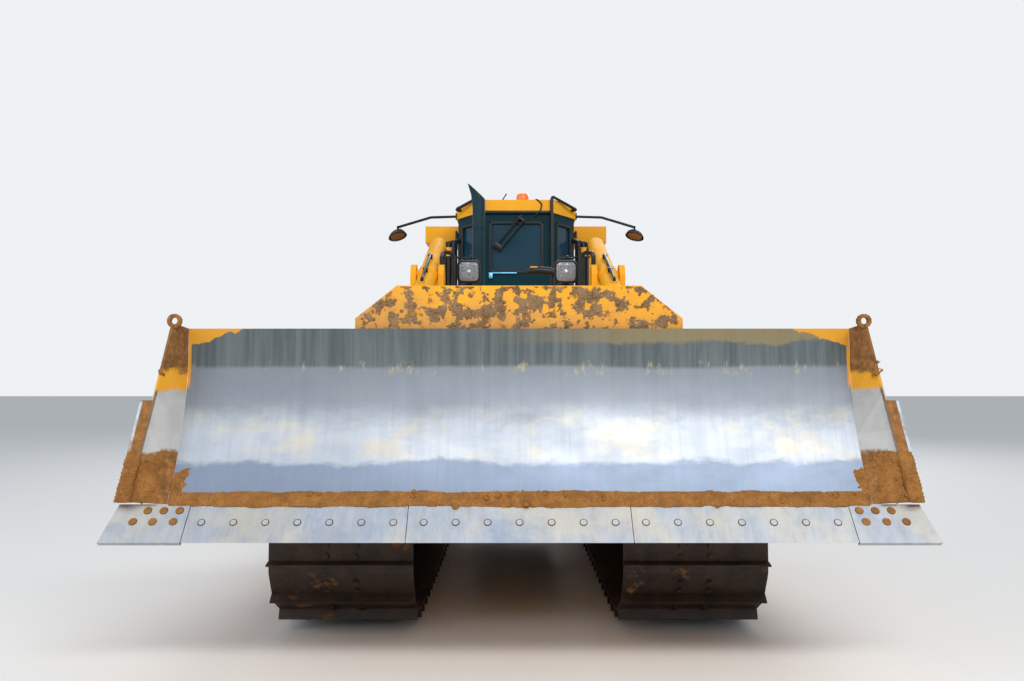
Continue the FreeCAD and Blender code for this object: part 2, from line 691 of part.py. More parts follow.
def edge_length():
    """Width of the cutting edge from its top to its tip."""
    return math.hypot(EDGE_TIP_Y - EDGE_TOP_Y, EDGE_TIP_Z - EDGE_TOP_Z)


def edge_plate(x0, x1):
    """Cutting edge section with its sharpened lower edge."""
    size = edge_length()
    outline = [edge_point(0, 0), edge_point(size, 0), edge_point(size - EDGE_BEVEL, EDGE_THICK), edge_point(0, EDGE_THICK)]
    return prism_x(outline, x0, x1)


def make_edges():
    """Three cutting edge sections and the two end bits."""
    sections = [edge_plate(-EDGE_HALF + EDGE_GAP, -EDGE_SPLIT - EDGE_GAP), edge_plate(-EDGE_SPLIT + EDGE_GAP, EDGE_SPLIT - EDGE_GAP),
                edge_plate(EDGE_SPLIT + EDGE_GAP, EDGE_HALF - EDGE_GAP)]
    save("cutting_edges", sections)
    size = edge_length()
    top, low = edge_point(0, 0), edge_point(size, 0)
    corners = [Vector(EDGE_HALF + EDGE_GAP, *top), Vector(END_BIT_HALF_HIGH, *top), Vector(END_BIT_HALF_LOW, *low),
               Vector(EDGE_HALF + EDGE_GAP, *low)]
    back = edge_point(0, EDGE_THICK)
    bit = face_of(corners).extrude(Vector(0, back[0] - top[0], back[1] - top[1]))
    save("end_bits", both_sides(bit))


def folded_plate(seam, front, thickness):
    """Plate folded between two lines of equal count, given a thickness as a vector."""
    faces = []
    count = len(seam)
    for step in range(count - 1):
        a, b, c, d = seam[step], seam[step + 1], front[step + 1], front[step]
        for corners in ((a, b, c), (a, c, d)):
            faces.append(face_of(corners))
            faces.append(face_of([corner + thickness for corner in corners]))
    rim = seam + front[::-1]
    for corner, beside in zip(rim, rim[1:] + rim[:1]):
        faces.append(face_of([corner, beside, beside + thickness, corner + thickness]))
    return Part.makeSolid(Part.makeShell(faces))


def end_plate():
    """Flared side of the blade: folded plate, wear strip up its front edge, lifting eye on its top corner."""
    shares = [step / END_PLATE_FOLDS for step in range(END_PLATE_FOLDS + 1)]
    seam = [Vector(BLADE_HALF, *on_blade(share, 0)) for share in shares]
    top_y, top_z = on_blade(1.0, 0)
    foot = Vector(BLADE_HALF + END_FLARE_FOOT, EDGE_TOP_Y - 8, EDGE_TOP_Z + 12)
    head = Vector(BLADE_HALF + END_FLARE_TOP, top_y - 160, top_z + 22)
    front = [foot + (head - foot) * share for share in shares]
    out = END_PLATE_THICK / math.sqrt(2)
    plate = folded_plate(seam, front, Vector(out, out, 0))
    y0, y1 = foot.y - WEAR_STRIP_THICK, foot.y + 6
    x0, x1 = foot.x - 4, foot.x - 4 + WEAR_STRIP_WIDTH
    strip = face_of([Vector(x0, y0, foot.z), Vector(x1, y0, foot.z), Vector(x1, y1, foot.z), Vector(x0, y1, foot.z)])
    strip = strip.extrude((head - foot) * WEAR_STRIP_SHARE)
    eye_y = head.y + 2
    eye = prism_y(flats(head.x, head.z + 12, LIFTING_EYE_RADIUS, PIN_SIDES), eye_y, eye_y + LIFTING_EYE_THICK)
    bore = prism_y(flats(head.x, head.z + 12, LIFTING_EYE_BORE, PIN_SIDES), eye_y - 100, eye_y + 100)
    return joined([plate, strip, eye]).cut(bore)


def lift_ear(x0, x1):
    """Ear behind the blade's head that holds the lift rod's eye."""
    root_low, root_high = on_blade(0.80, 100), on_blade(HEAD_TOP_SHARE, 62)
    round_end = arc_points(ROD_EYE_Y, ROD_EYE_Z, ROD_EYE_RADIUS + 14, -70, 130, 8)
    plate = prism_x([root_low] + round_end + [root_high], x0, x1)
    return plate.cut(drum_x(x0 - 1, x1 + 1, ROD_EYE_Y, ROD_EYE_Z, LIFT_PIN_RADIUS, PIN_SIDES, around=True))


def behind_moldboard(share0, share1, steps):
    """Points up the moldboard's back, set off so that the straight runs between them stay clear of it."""
    step = (share1 - share0) / steps
    depth = BLADE_THICK + SEAT_GAP / 2 + BLADE_HOLLOW * step ** 2
    return [on_blade(share0 + step * index, depth) for index in range(steps + 1)]


def blade_rib(x0, x1):
    """Stiffener between the blade's foot and head boxes, behind the moldboard."""
    return prism_x([on_blade(0.82, 130), on_blade(0.62, 180), on_blade(0.28, 190)] + behind_moldboard(0.28, 0.82, 5), x0, x1)


def blade_head(x0, x1):
    """Box beam along the moldboard's top."""
    return prism_x([on_blade(HEAD_TOP_SHARE, 150), on_blade(0.80, 150)] + behind_moldboard(0.80, HEAD_TOP_SHARE, 2), x0, x1)


def push_arm(frame):
    """Box-section arm from the track frame's pin to the blade's foot, with a round eye."""
    x0, x1 = ARM_X - ARM_WIDTH / 2, ARM_X + ARM_WIDTH / 2
    y, z = on_blade(0.20, 225)
    eye = arc_points(ARM_PIVOT_Y, ARM_PIVOT_Z, ARM_EYE_RADIUS, -110, 110, 10)
    outline = eye + [(y + 320, z + 60), (y, z + 90), (y - 10, z - 110), (y + 320, z - 190)]
    bore = rod_x(x0 - 1, x1 + 1, ARM_PIVOT_Y, ARM_PIVOT_Z, ARM_PIN_RADIUS)
    return prism_x(outline, x0, x1).cut(bore).cut(frame)


def pitch_brace(arm, frame, sleeve):
    """Brace from the push arm up to the blade's head, thicker between two shares of its length."""
    start = Vector(ARM_X, BRACE_FOOT_Y, BRACE_FOOT_Z)
    end = Vector(ARM_X, *on_blade(0.72, 120))
    run = end - start
    low, high, radius = sleeve
    middle = bar_between(start + run * low, start + run * high, radius, PIN_SIDES)
    return joined([bar_between(start, end, BRACE_RADIUS, DRUM_SIDES), middle]).cut(arm).cut(frame)


def make_blade():
    """Moldboard, its box frame, flared ends, spill guard and push arms."""
    x0, x1 = -BLADE_HALF, BLADE_HALF
    moldboard = blade_strip(0.0, 1.0, 0, BLADE_THICK, x0, x1)
    save("moldboard", moldboard)
    front = BLADE_THICK - 8
    foot_end = edge_length() - 45
    foot = prism_x([edge_point(0, EDGE_THICK), edge_point(foot_end, EDGE_THICK), edge_point(foot_end, EDGE_THICK + 40),
                    on_blade(0.16, 245), on_blade(0.30, 200), on_blade(0.30, front), on_blade(0.12, front)], x0, x1)
    pieces = [foot.cut(moldboard), blade_head(x0, x1)]
    last = BLADE_HALF - RIB_THICK
    for index in range(RIB_COUNT):
        x = -last + 2 * last * index / (RIB_COUNT - 1)
        pieces.append(blade_rib(x - RIB_THICK / 2, x + RIB_THICK / 2))
    for side in (-1, 1):
        pieces.append(blade_rib(side * ARM_X - BRACE_RADIUS - 12, side * ARM_X + BRACE_RADIUS + 12))
    half = ROD_EYE_WIDTH / 2 + SEAT_GAP
    ears = [lift_ear(LIFT_X - half - ROD_EAR_THICK, LIFT_X - half), lift_ear(LIFT_X + half, LIFT_X + half + ROD_EAR_THICK)]
    ears += [mirrored(ear) for ear in ears]
    frame = joined(pieces + ears)
    save("blade_frame", frame)
    save("end_plates", both_sides(end_plate()))
    guard_y = on_blade(HEAD_TOP_SHARE, 30)[0]
    seat_z = on_blade(HEAD_TOP_SHARE, 30 + SPILL_THICK)[1] + SEAT_GAP
    guard = prism_y([(-SPILL_HALF_LOW, seat_z), (SPILL_HALF_LOW, seat_z), (SPILL_HALF_LOW, SPILL_SHOULDER_Z),
                     (SPILL_HALF_HIGH, SPILL_TOP_Z), (-SPILL_HALF_HIGH, SPILL_TOP_Z), (-SPILL_HALF_LOW, SPILL_SHOULDER_Z)],
                    guard_y, guard_y + SPILL_THICK)
    save("spill_guard", guard)
    arm = push_arm(frame)
    save("push_arms", both_sides(arm))
    save("pitch_braces", [pitch_brace(arm, frame, TILT_BARREL), mirrored(pitch_brace(arm, frame, SCREW_SLEEVE))])


def cylinder_way():
    """Unit vector from the trunnion down the lift cylinder to its rod eye, and their distance."""
    way = Vector(0, ROD_EYE_Y - TRUNNION_Y, ROD_EYE_Z - TRUNNION_Z)
    length = way.Length
    return way.normalize(), length


def make_lift(name, side):
    """One lift cylinder: the barrel on its trunnion, and the rod with its eye."""
    way, length = cylinder_way()
    x = side * LIFT_X
    centre = Vector(x, TRUNNION_Y, TRUNNION_Z)
    start, end = centre - way * BARREL_BEHIND, centre + way * BARREL_AHEAD
    barrel = bar_between(start, end, BARREL_RADIUS, WHEEL_SIDES)
    collar = bar_between(centre - way * COLLAR_HALF, centre + way * COLLAR_HALF, BARREL_RADIUS + 10, WHEEL_SIDES)
    gland = bar_between(end - way * GLAND_LENGTH, end, BARREL_RADIUS + 6, WHEEL_SIDES)
    pieces = [barrel, collar, gland]
    reach = YOKE_HALF_GAP + YOKE_EAR_THICK - 1
    pieces.append(rod_x(x - reach, x + reach, TRUNNION_Y, TRUNNION_Z, LIFT_PIN_RADIUS - RUNNING_GAP))
    bore = bar_between(start + way * BARREL_END, end + way, BARREL_BORE, WHEEL_SIDES)
    save("lift_barrel_" + name, joined(pieces).cut(bore))
    eye = Vector(x, ROD_EYE_Y, ROD_EYE_Z)
    rod = bar_between(eye - way * (length + ROD_TAIL), eye, ROD_RADIUS, WHEEL_SIDES)
    half = ROD_EYE_WIDTH / 2
    ring = drum_x(x - half, x + half, ROD_EYE_Y, ROD_EYE_Z, ROD_EYE_RADIUS, WHEEL_SIDES)
    save("lift_rod_" + name, joined([rod, ring]))


def lift_yoke():
    """Bracket on the radiator guard's side with two round-topped ears for a cylinder's trunnion."""
    inner, outer = LIFT_X - YOKE_HALF_GAP - YOKE_EAR_THICK, LIFT_X + YOKE_HALF_GAP
    pieces = [box(GUARD_HALF, outer + YOKE_EAR_THICK, YOKE_FRONT_Y, YOKE_REAR_Y, YOKE_LOW_Z, YOKE_LOW_Z + 110)]
    top = arc_points(TRUNNION_Y, TRUNNION_Z, YOKE_EAR_RADIUS, 0, 180, 8)
    for x in (inner, outer):
        pieces.append(prism_x([(YOKE_FRONT_Y, YOKE_LOW_Z), (YOKE_REAR_Y, YOKE_LOW_Z)] + top, x, x + YOKE_EAR_THICK))
    yoke = joined(pieces).cut(box(0, GUARD_HALF, YOKE_FRONT_Y - 100, YOKE_REAR_Y + 100, YOKE_LOW_Z - 100, HOOD_TOP_Z + 300))
    return yoke.cut(drum_x(0, LIFT_X * 2, TRUNNION_Y, TRUNNION_Z, LIFT_PIN_RADIUS, PIN_SIDES, around=True))


def lift_pipe():
    """Steel oil pipe from the top of the radiator guard over to the yoke's trunnion."""
    root_x = LIFT_X - YOKE_HALF_GAP - YOKE_EAR_THICK / 2
    ear_top = TRUNNION_Z + YOKE_EAR_RADIUS
    route = [(PIPE_FOOT_X, PIPE_Y, HOOD_TOP_Z), (PIPE_FOOT_X, PIPE_Y, PIPE_TOP_Z), (root_x, TRUNNION_Y, PIPE_TOP_Z),
             (root_x, TRUNNION_Y, ear_top)]
    return bent_bar(route, PIPE_RADIUS, 34)


def make_nose():
    """Radiator guard with the lift yokes on its sides, the grille and the core behind it."""
    outline = [(GUARD_FRONT_Y, GUARD_LOW), (GUARD_FRONT_Y, HOOD_TOP_Z - 130), (GUARD_FRONT_Y + 120, HOOD_TOP_Z), (GUARD_REAR_Y, HOOD_TOP_Z),
               (GUARD_REAR_Y, GUARD_LOW)]
    half, low, high = GRILLE_HALF, GRILLE_LOW_Z, GRILLE_HIGH_Z
    guard = prism_x(outline, -GUARD_HALF, GUARD_HALF)
    save("radiator_guard", guard.cut(box(-half, half, GUARD_FRONT_Y - 1, GUARD_REAR_Y + 1, low, high)))
    half, low, high = half - SEAT_GAP, low + SEAT_GAP, high - SEAT_GAP
    frame = box(-half, half, GUARD_FRONT_Y + 10, GUARD_FRONT_Y + 40, low, high)
    pitch = (high - low) / GRILLE_SLOTS
    slots = []
    for index in range(GRILLE_SLOTS):
        foot = low + pitch * index + GRILLE_BAR / 2
        slots.append(box(-half + 15, half - 15, GUARD_FRONT_Y + 5, GUARD_FRONT_Y + 45, foot, foot + pitch - GRILLE_BAR))
    save("radiator_grille", frame.cut(Part.makeCompound(slots)))
    save("radiator_core", box(-half, half, GUARD_REAR_Y - 120, GUARD_REAR_Y - 5, low, high))
    save("lift_yokes", both_sides(lift_yoke()))
    save("lift_pipes", both_sides(lift_pipe()))


HINGE_RADIUS = 13.0
HINGE_PIN = 7.0
HINGE_HEIGHT = 60.0
HINGE_LEAF = 45.0
HINGE_LEAF_THICK = 8.0


def hinge_parts(x, y, z, side, frame_way):
    """Hinge on a side wall: the frame's pin and end knuckles with a leaf, and the door's middle knuckle and leaf."""
    height = HINGE_HEIGHT
    face = x - side * HINGE_RADIUS
    x0, x1 = sorted((face, face + side * HINGE_LEAF_THICK))
    frame = [prism_z(flats(x, y, HINGE_PIN, BAR_SIDES), z - height, z + height)]
    y0, y1 = sorted((y, y + frame_way * HINGE_LEAF))
    for low in (z - height, z + height / 2 + SEAT_GAP):
        high = low + height / 2 - SEAT_GAP
        frame.append(prism_z(flats(x, y, HINGE_RADIUS, BAR_SIDES + 2), low, high))
        frame.append(box(x0, x1, y0, y1, low, high))
    low, high = z - height / 2, z + height / 2
    nose = Part.makeCylinder(HINGE_RADIUS, height, Vector(x, y, low))
    root = sorted((x, face - side))
    nose = nose.cut(box(root[0], root[1], y - 2 * HINGE_RADIUS, y + 2 * HINGE_RADIUS, low - 1, high + 1))
    knuckle = prism_z(flats(x, y, HINGE_RADIUS * 0.99, BAR_SIDES + 2), low, high)
    y0, y1 = sorted((y, y - frame_way * HINGE_LEAF))
    leaf = box(x0, x1, y0, y1, low, high)
    bore = prism_z(flats(x, y, HINGE_PIN + RUNNING_GAP / 2, BAR_SIDES, around=True), low - 1, high + 1)
    return joined(frame), joined([nose, knuckle, leaf]).cut(bore)


ENGINE_DOOR_FRONT = -1150.0
ENGINE_DOOR_REAR = -30.0
ENGINE_DOOR_LOW = 1195.0
ENGINE_DOOR_HIGH = 1890.0
DOOR_GAP = 6.0


def make_hood():
    """Hood over the engine with its two side doors."""
    r = SHOULDER_RADIUS
    def skin(inset):
        half, top = HOOD_HALF - inset, HOOD_TOP_Z - inset
        bend = r - inset
        k = bend * (1 - math.sqrt(0.5))
        edges = [Part.makeLine(Vector(-half, 0, HOOD_LOW_Z), Vector(-half, 0, top - bend)),
                 Part.Arc(Vector(-half, 0, top - bend), Vector(-half + k, 0, top - k), Vector(-half + bend, 0, top)).toShape(),
                 Part.makeLine(Vector(-half + bend, 0, top), Vector(half - bend, 0, top)),
                 Part.Arc(Vector(half - bend, 0, top), Vector(half - k, 0, top - k), Vector(half, 0, top - bend)).toShape(),
                 Part.makeLine(Vector(half, 0, top - bend), Vector(half, 0, HOOD_LOW_Z)),
                 Part.makeLine(Vector(half, 0, HOOD_LOW_Z), Vector(-half, 0, HOOD_LOW_Z))]
        return Part.Face(Part.Wire(edges))
    length = HOOD_REAR_Y - GUARD_REAR_Y - SEAT_GAP
    start = Vector(0, GUARD_REAR_Y + SEAT_GAP, 0)
    outer = skin(0).extrude(Vector(0, length, 0)).translated(start)
    inner = skin(HOOD_SHEET).extrude(Vector(0, length, 0)).translated(start)
    shell = outer.cut(inner.common(box(-600, 600, -2000, 1000, HOOD_LOW_Z - 1, HOOD_TOP_Z)))
    shell = shell.cut(box(-600, 600, -2000, 1000, HOOD_LOW_Z - 1, HOOD_LOW_Z + HOOD_SHEET + 1).common(inner))
    for sign in (-1, 1):
        x0, x1 = sorted((sign * (HOOD_HALF - 60), sign * (HOOD_HALF + 5)))
        shell = shell.cut(box(x0, x1, ENGINE_DOOR_FRONT - DOOR_GAP, ENGINE_DOOR_REAR + DOOR_GAP, ENGINE_DOOR_LOW - DOOR_GAP,
                              ENGINE_DOOR_HIGH + DOOR_GAP))
    for name, side in SIDES:
        x0, x1 = sorted((side * (HOOD_HALF - HOOD_SHEET), side * HOOD_HALF))
        door = box(x0, x1, ENGINE_DOOR_FRONT, ENGINE_DOOR_REAR, ENGINE_DOOR_LOW, ENGINE_DOOR_HIGH)
        for z in (ENGINE_DOOR_LOW + 125, ENGINE_DOOR_HIGH - 130):
            fixed, moving = hinge_parts(side * (HOOD_HALF + HINGE_RADIUS), ENGINE_DOOR_FRONT, z, side, -1)
            shell = shell.fuse(fixed)
            door = door.fuse(moving)
        save("engine_door_" + name, door)
    save("hood", shell)


def cab_plan():
    """Plan corners of the six-sided cab with its slanted front and rear corners."""
    right = [(CAB_FRONT_HALF, CAB_FRONT_Y), (CAB_HALF, CAB_SLANT_Y), (CAB_HALF, CAB_SIDE_REAR_Y), (CAB_REAR_HALF, CAB_REAR_Y)]
    return right + [(-x, y) for x, y in reversed(right)]


def plan_prism(inset, z0, z1):
    """Upright prism on the cab's plan, moved in by a distance."""
    points = [Vector(x, y, z0) for x, y in cab_plan()]
    wire = Part.makePolygon(points + [points[0]])
    if inset:
        wire = wire.makeOffset2D(-inset, 2)
    return Part.Face(wire).extrude(Vector(0, 0, z1 - z0))


def wall_piece(start, end, margin, z0, z1, depth0, depth1):
    """Upright slab in one wall of the cab, given by the wall's two plan corners."""
    start, end = Vector(*start, 0), Vector(*end, 0)
    along = (end - start).normalize()
    inward = Vector(-along.y, along.x, 0)
    a, b = start + along * margin, end - along * margin
    corners = [a + inward * depth0, b + inward * depth0, b + inward * depth1, a + inward * depth1]
    return prism_z([(p.x, p.y) for p in corners], z0, z1)


CAB_BASE_Z = FENDER_TOP_Z + SEAT_GAP
DOOR_MARGIN = 28.0
DOOR_LOW_Z = CAB_BASE_Z + 60.0
DOOR_HIGH_Z = CAB_EAVES_Z - 40.0
WINDOW_HIGH_Z = CAB_EAVES_Z - 85.0


def make_cab():
    """Hollow cab with its windows cut, two doors, roof and what shows inside."""
    right = cab_plan()[:4]
    walls = ((right[0], right[1], SLANT_WINDOW_MARGIN, SLANT_WINDOW_LOW_Z), (right[2], right[3], REAR_CORNER_MARGIN, REAR_WINDOW_LOW_Z))
    floor = CAB_BASE_Z + CAB_FLOOR_THICK
    shell = plan_prism(0, CAB_BASE_Z, CAB_EAVES_Z).cut(plan_prism(CAB_WALL, floor, CAB_EAVES_Z + 1))
    glass = []
    for start, end, margin, low in walls:
        hole = wall_piece(start, end, margin, low, WINDOW_HIGH_Z, -20, CAB_WALL + 20)
        pane = wall_piece(start, end, margin + SEAT_GAP, low + SEAT_GAP, WINDOW_HIGH_Z - SEAT_GAP, 16, 16 + PANE)
        shell = shell.cut(hole).cut(mirrored(hole))
        glass += both_sides(pane)
    spans = ((CAB_FRONT_Y, 1, FRONT_WINDOW_HALF, FRONT_WINDOW_LOW_Z), (CAB_REAR_Y, -1, REAR_WINDOW_HALF, REAR_WINDOW_LOW_Z))
    for y, inward, half, low in spans:
        y0, y1 = sorted((y - inward * 5, y + inward * (CAB_WALL + 5)))
        shell = shell.cut(box(-half, half, y0, y1, low, WINDOW_HIGH_Z))
        y0, y1 = sorted((y + inward * 16, y + inward * (16 + PANE)))
        glass.append(box(-half + SEAT_GAP, half - SEAT_GAP, y0, y1, low + SEAT_GAP, WINDOW_HIGH_Z - SEAT_GAP))
    save("cab_glass", glass)
    opening = wall_piece(right[1], right[2], DOOR_MARGIN - DOOR_GAP, DOOR_LOW_Z - DOOR_GAP, DOOR_HIGH_Z + DOOR_GAP, -1, CAB_WALL + 1)
    shell = shell.cut(opening).cut(mirrored(opening))
    hinge_y = CAB_SIDE_REAR_Y - DOOR_MARGIN + 2
    for name, side in SIDES:
        door = wall_piece(right[1], right[2], DOOR_MARGIN, DOOR_LOW_Z, DOOR_HIGH_Z, 0, CAB_WALL)
        margin, low = DOOR_MARGIN + DOOR_STILE, DOOR_WINDOW_LOW_Z
        hole = wall_piece(right[1], right[2], margin, low, WINDOW_HIGH_Z - 20, -1, CAB_WALL + 1)
        pane = wall_piece(right[1], right[2], margin + SEAT_GAP, low + SEAT_GAP, WINDOW_HIGH_Z - 20 - SEAT_GAP, 16, 16 + PANE)
        door = door.cut(hole)
        if side < 0:
            door, pane = mirrored(door), mirrored(pane)
        for z in CAB_HINGE_ZS:
            fixed, moving = hinge_parts(side * (CAB_HALF + HINGE_RADIUS), hinge_y, z, side, 1)
            shell = shell.fuse(fixed)
            door = door.fuse(moving)
        save("cab_door_" + name, door)
        save("cab_door_glass_" + name, pane)
    save("cab_frame", shell)
    roof = plan_prism(-ROOF_OVERHANG, CAB_EAVES_Z, CAB_TOP_Z)
    roof = roof.cut(plan_prism(40.0, CAB_EAVES_Z - 1, CAB_EAVES_Z + 60))
    save("cab_roof", roof)
    seat_top = floor + SEAT_BASE_HEIGHT + CUSHION_HEIGHT
    save("seat_base", box(-SEAT_HALF + 50, SEAT_HALF - 50, SEAT_FRONT_Y + 50, SEAT_REAR_Y - 70, floor, floor + SEAT_BASE_HEIGHT))
    save("seat_cushion", box(-SEAT_HALF, SEAT_HALF, SEAT_FRONT_Y, SEAT_REAR_Y, floor + SEAT_BASE_HEIGHT + SEAT_GAP, seat_top))
    save("seat_back", box(-SEAT_HALF + 10, SEAT_HALF - 10, SEAT_REAR_Y - 10, SEAT_REAR_Y - 10 + BACK_THICK, seat_top + 2 * SEAT_GAP,
                          seat_top + BACK_HEIGHT))
    front = CONSOLE_FRONT_Y
    dash = [(front, floor), (front + 200, floor), (front + 180, CONSOLE_SILL_Z), (front + 80, CONSOLE_TOP_Z), (front, CONSOLE_TOP_Z)]
    save("console", prism_x(dash, -CONSOLE_HALF, CONSOLE_HALF))
    save("armrests", both_sides(box(ARMREST_INNER, ARMREST_OUTER, SEAT_FRONT_Y - 60, SEAT_REAR_Y - 20, floor, floor + ARMREST_HEIGHT)))


def make_rops():
    """Two-post protection frame whose shoulders stand beside the cab."""
    post = box(POST_INNER, POST_OUTER, ROPS_FRONT_Y, ROPS_FRONT_Y + POST_DEPTH, FENDER_TOP_Z, ROPS_LOW_Z)
    shoulder = box(ROPS_INNER, ROPS_OUTER, ROPS_FRONT_Y, ROPS_REAR_Y, ROPS_LOW_Z, ROPS_HIGH_Z)
    beam = box(-ROPS_INNER, ROPS_INNER, ROPS_REAR_Y - 180, ROPS_REAR_Y, ROPS_LOW_Z, ROPS_HIGH_Z)
    save("rops_frame", joined([post, shoulder, mirrored(post), mirrored(shoulder), beam]))


def make_deck():
    """Fender boxes over the tracks, the deck between them and the fuel tank."""
    rear = TANK_FRONT_Y - SEAT_GAP
    inner, notch = FRAME_HALF + SEAT_GAP, HOOD_HALF + 6
    fender = prism_z([(inner, HOOD_REAR_Y + 5), (inner, rear), (FENDER_OUTER, rear), (FENDER_OUTER, FENDER_FRONT_Y),
                      (notch, FENDER_FRONT_Y), (notch, HOOD_REAR_Y + 5)], FENDER_LOW_Z, FENDER_TOP_Z)
    save("fenders", both_sides(fender))
    save("deck", box(-FRAME_HALF, FRAME_HALF, CAB_FRONT_Y - 40, rear, FENDER_LOW_Z, FENDER_TOP_Z))
    brow, chin = TANK_BROW, TANK_CHIN
    outline = [(TANK_FRONT_Y, TANK_LOW_Z), (TANK_FRONT_Y, TANK_TOP_Z), (TANK_REAR_Y - brow[0], TANK_TOP_Z),
               (TANK_REAR_Y, TANK_TOP_Z - brow[1]), (TANK_REAR_Y, TANK_LOW_Z + chin[1]), (TANK_REAR_Y - chin[0], TANK_LOW_Z)]
    save("fuel_tank", prism_x(outline, -TANK_HALF, TANK_HALF))


def exhaust_stack():
    """Upright pipe on the hood whose outlet leans to the side and is cut on the slant."""
    foot = Vector(EXHAUST_X, EXHAUST_Y, HOOD_TOP_Z)
    bend = Vector(EXHAUST_X, EXHAUST_Y, ELBOW_Z)
    end = bend + Vector(-31, 0, 260)
    pipe = [ring_about(foot, Vector(0, 0, 1), EXHAUST_RADIUS, PIPE_SIDES)]
    for point, mitre in ((bend, end - bend + Vector(0, 0, 260)), (end, end - bend)):
        way = (point - (foot if point == bend else bend)).normalize()
        pipe.append([corner + way * ((point - corner).dot(mitre) / way.dot(mitre)) for corner in pipe[-1]])
    left, right, above = EXHAUST_X - 200, EXHAUST_X + 200, ELBOW_Z + 300
    slant = prism_y([(left, above), (right, above), (right, ELBOW_Z + 50), (left + 100, ELBOW_Z + 235)],
                    EXHAUST_Y - 100, EXHAUST_Y + 100)
    return skinned(pipe).cut(slant)


def rounded_square(x, z, half, corner):
    """Front view outline of a square with cut corners."""
    near, far = half - corner, half
    return [(x + a, z + b) for a, b in ((-near, -far), (near, -far), (far, -near), (far, near), (near, far), (-near, far),
                                        (-far, near), (-far, -near))]


def work_lamp():
    """Lamp on the hood: a square housing that narrows to its back, on a foot."""
    rim = LAMP_HALF + 12
    rings = []
    for y, half in ((0, rim), (38, rim), (100, rim * 0.6)):
        rings.append([Vector(x, LAMP_Y + y, z) for x, z in rounded_square(LAMP_X, LAMP_Z, half, half * 0.3)])
    housing = skinned(rings)
    foot = box(LAMP_X - 25, LAMP_X + 25, LAMP_Y + 20, LAMP_Y + 70, HOOD_TOP_Z, LAMP_Z)
    return joined([housing, foot])


def arm_lamp():
    """Lamp on a bent arm from the roof, its hooded face turned forwards and down."""
    y, z = ARM_LAMP_Y, ARM_LAMP_Z
    root = (ROOF_SIDE + SEAT_GAP, y, ARM_ROOT_Z)
    arm = bent_bar([root, (ARM_LAMP_X - 330, y, ARM_ROOT_Z), (ARM_LAMP_X, y, z + 95), (ARM_LAMP_X, y, z + 30)], 11, 40)
    hood = [(y + 60, z + 30), (y + 20, z + 50), (y - 72, z + 40), (y - 75, z + 28), (y - 30, z + 22), (y - 5, z - 50), (y + 40, z - 40)]
    return joined([arm, prism_x(hood, ARM_LAMP_X - ARM_LAMP_HALF, ARM_LAMP_X + ARM_LAMP_HALF)])


def grab_rail():
    """Rail from the cab's front wall over the roof's edge and down its slanted corner."""
    wall_y = CAB_FRONT_Y - SEAT_GAP
    x, out, low, high = GRAB_RAIL_X, CAB_FRONT_Y - GRAB_RAIL_REACH, FRONT_WINDOW_LOW_Z + 20, CAB_TOP_Z + 30
    corner, root = (578, 652, CAB_EAVES_Z + 70), (528.6, 685.9, CAB_EAVES_Z + 70)
    return bent_bar([(x, wall_y, low), (x, out, low), (x, out, high), corner, root], GRAB_RAIL_RADIUS, 28)


def make_fittings():
    """Exhaust, lamps, rails, beacon and the lamp arms on the roof."""
    save("exhaust_stack", exhaust_stack())
    save("work_lamps", both_sides(work_lamp()))
    lens = prism_y(rounded_square(LAMP_X, LAMP_Z, LAMP_HALF, 18), LAMP_Y - 12, LAMP_Y - SEAT_GAP)
    save("lamp_lenses", both_sides(lens))
    save("grab_rails", both_sides(grab_rail()))
    save("lamp_arms", both_sides(arm_lamp()))
    ring = flats(BEACON_X, BEACON_Y, BEACON_RADIUS, WHEEL_SIDES)
    save("beacon", prism_z(ring, CAB_TOP_Z + SEAT_GAP, CAB_TOP_Z + BEACON_HEIGHT))


def main():
    """Builds every node."""
    os.makedirs("parts", exist_ok=True)
    make_undercarriage()
    make_main_frame()
    make_blade()
    make_edges()
    for name, side in SIDES:
        make_lift(name, side)
    make_nose()
    make_hood()
    make_cab()
    make_rops()
    make_deck()
    make_fittings()


main()
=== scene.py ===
"""Looks of a wide-track crawler bulldozer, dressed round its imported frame, in metres."""
import math

import bmesh
import bpy
from mathutils import Matrix, Vector
from mathutils.bvhtree import BVHTree


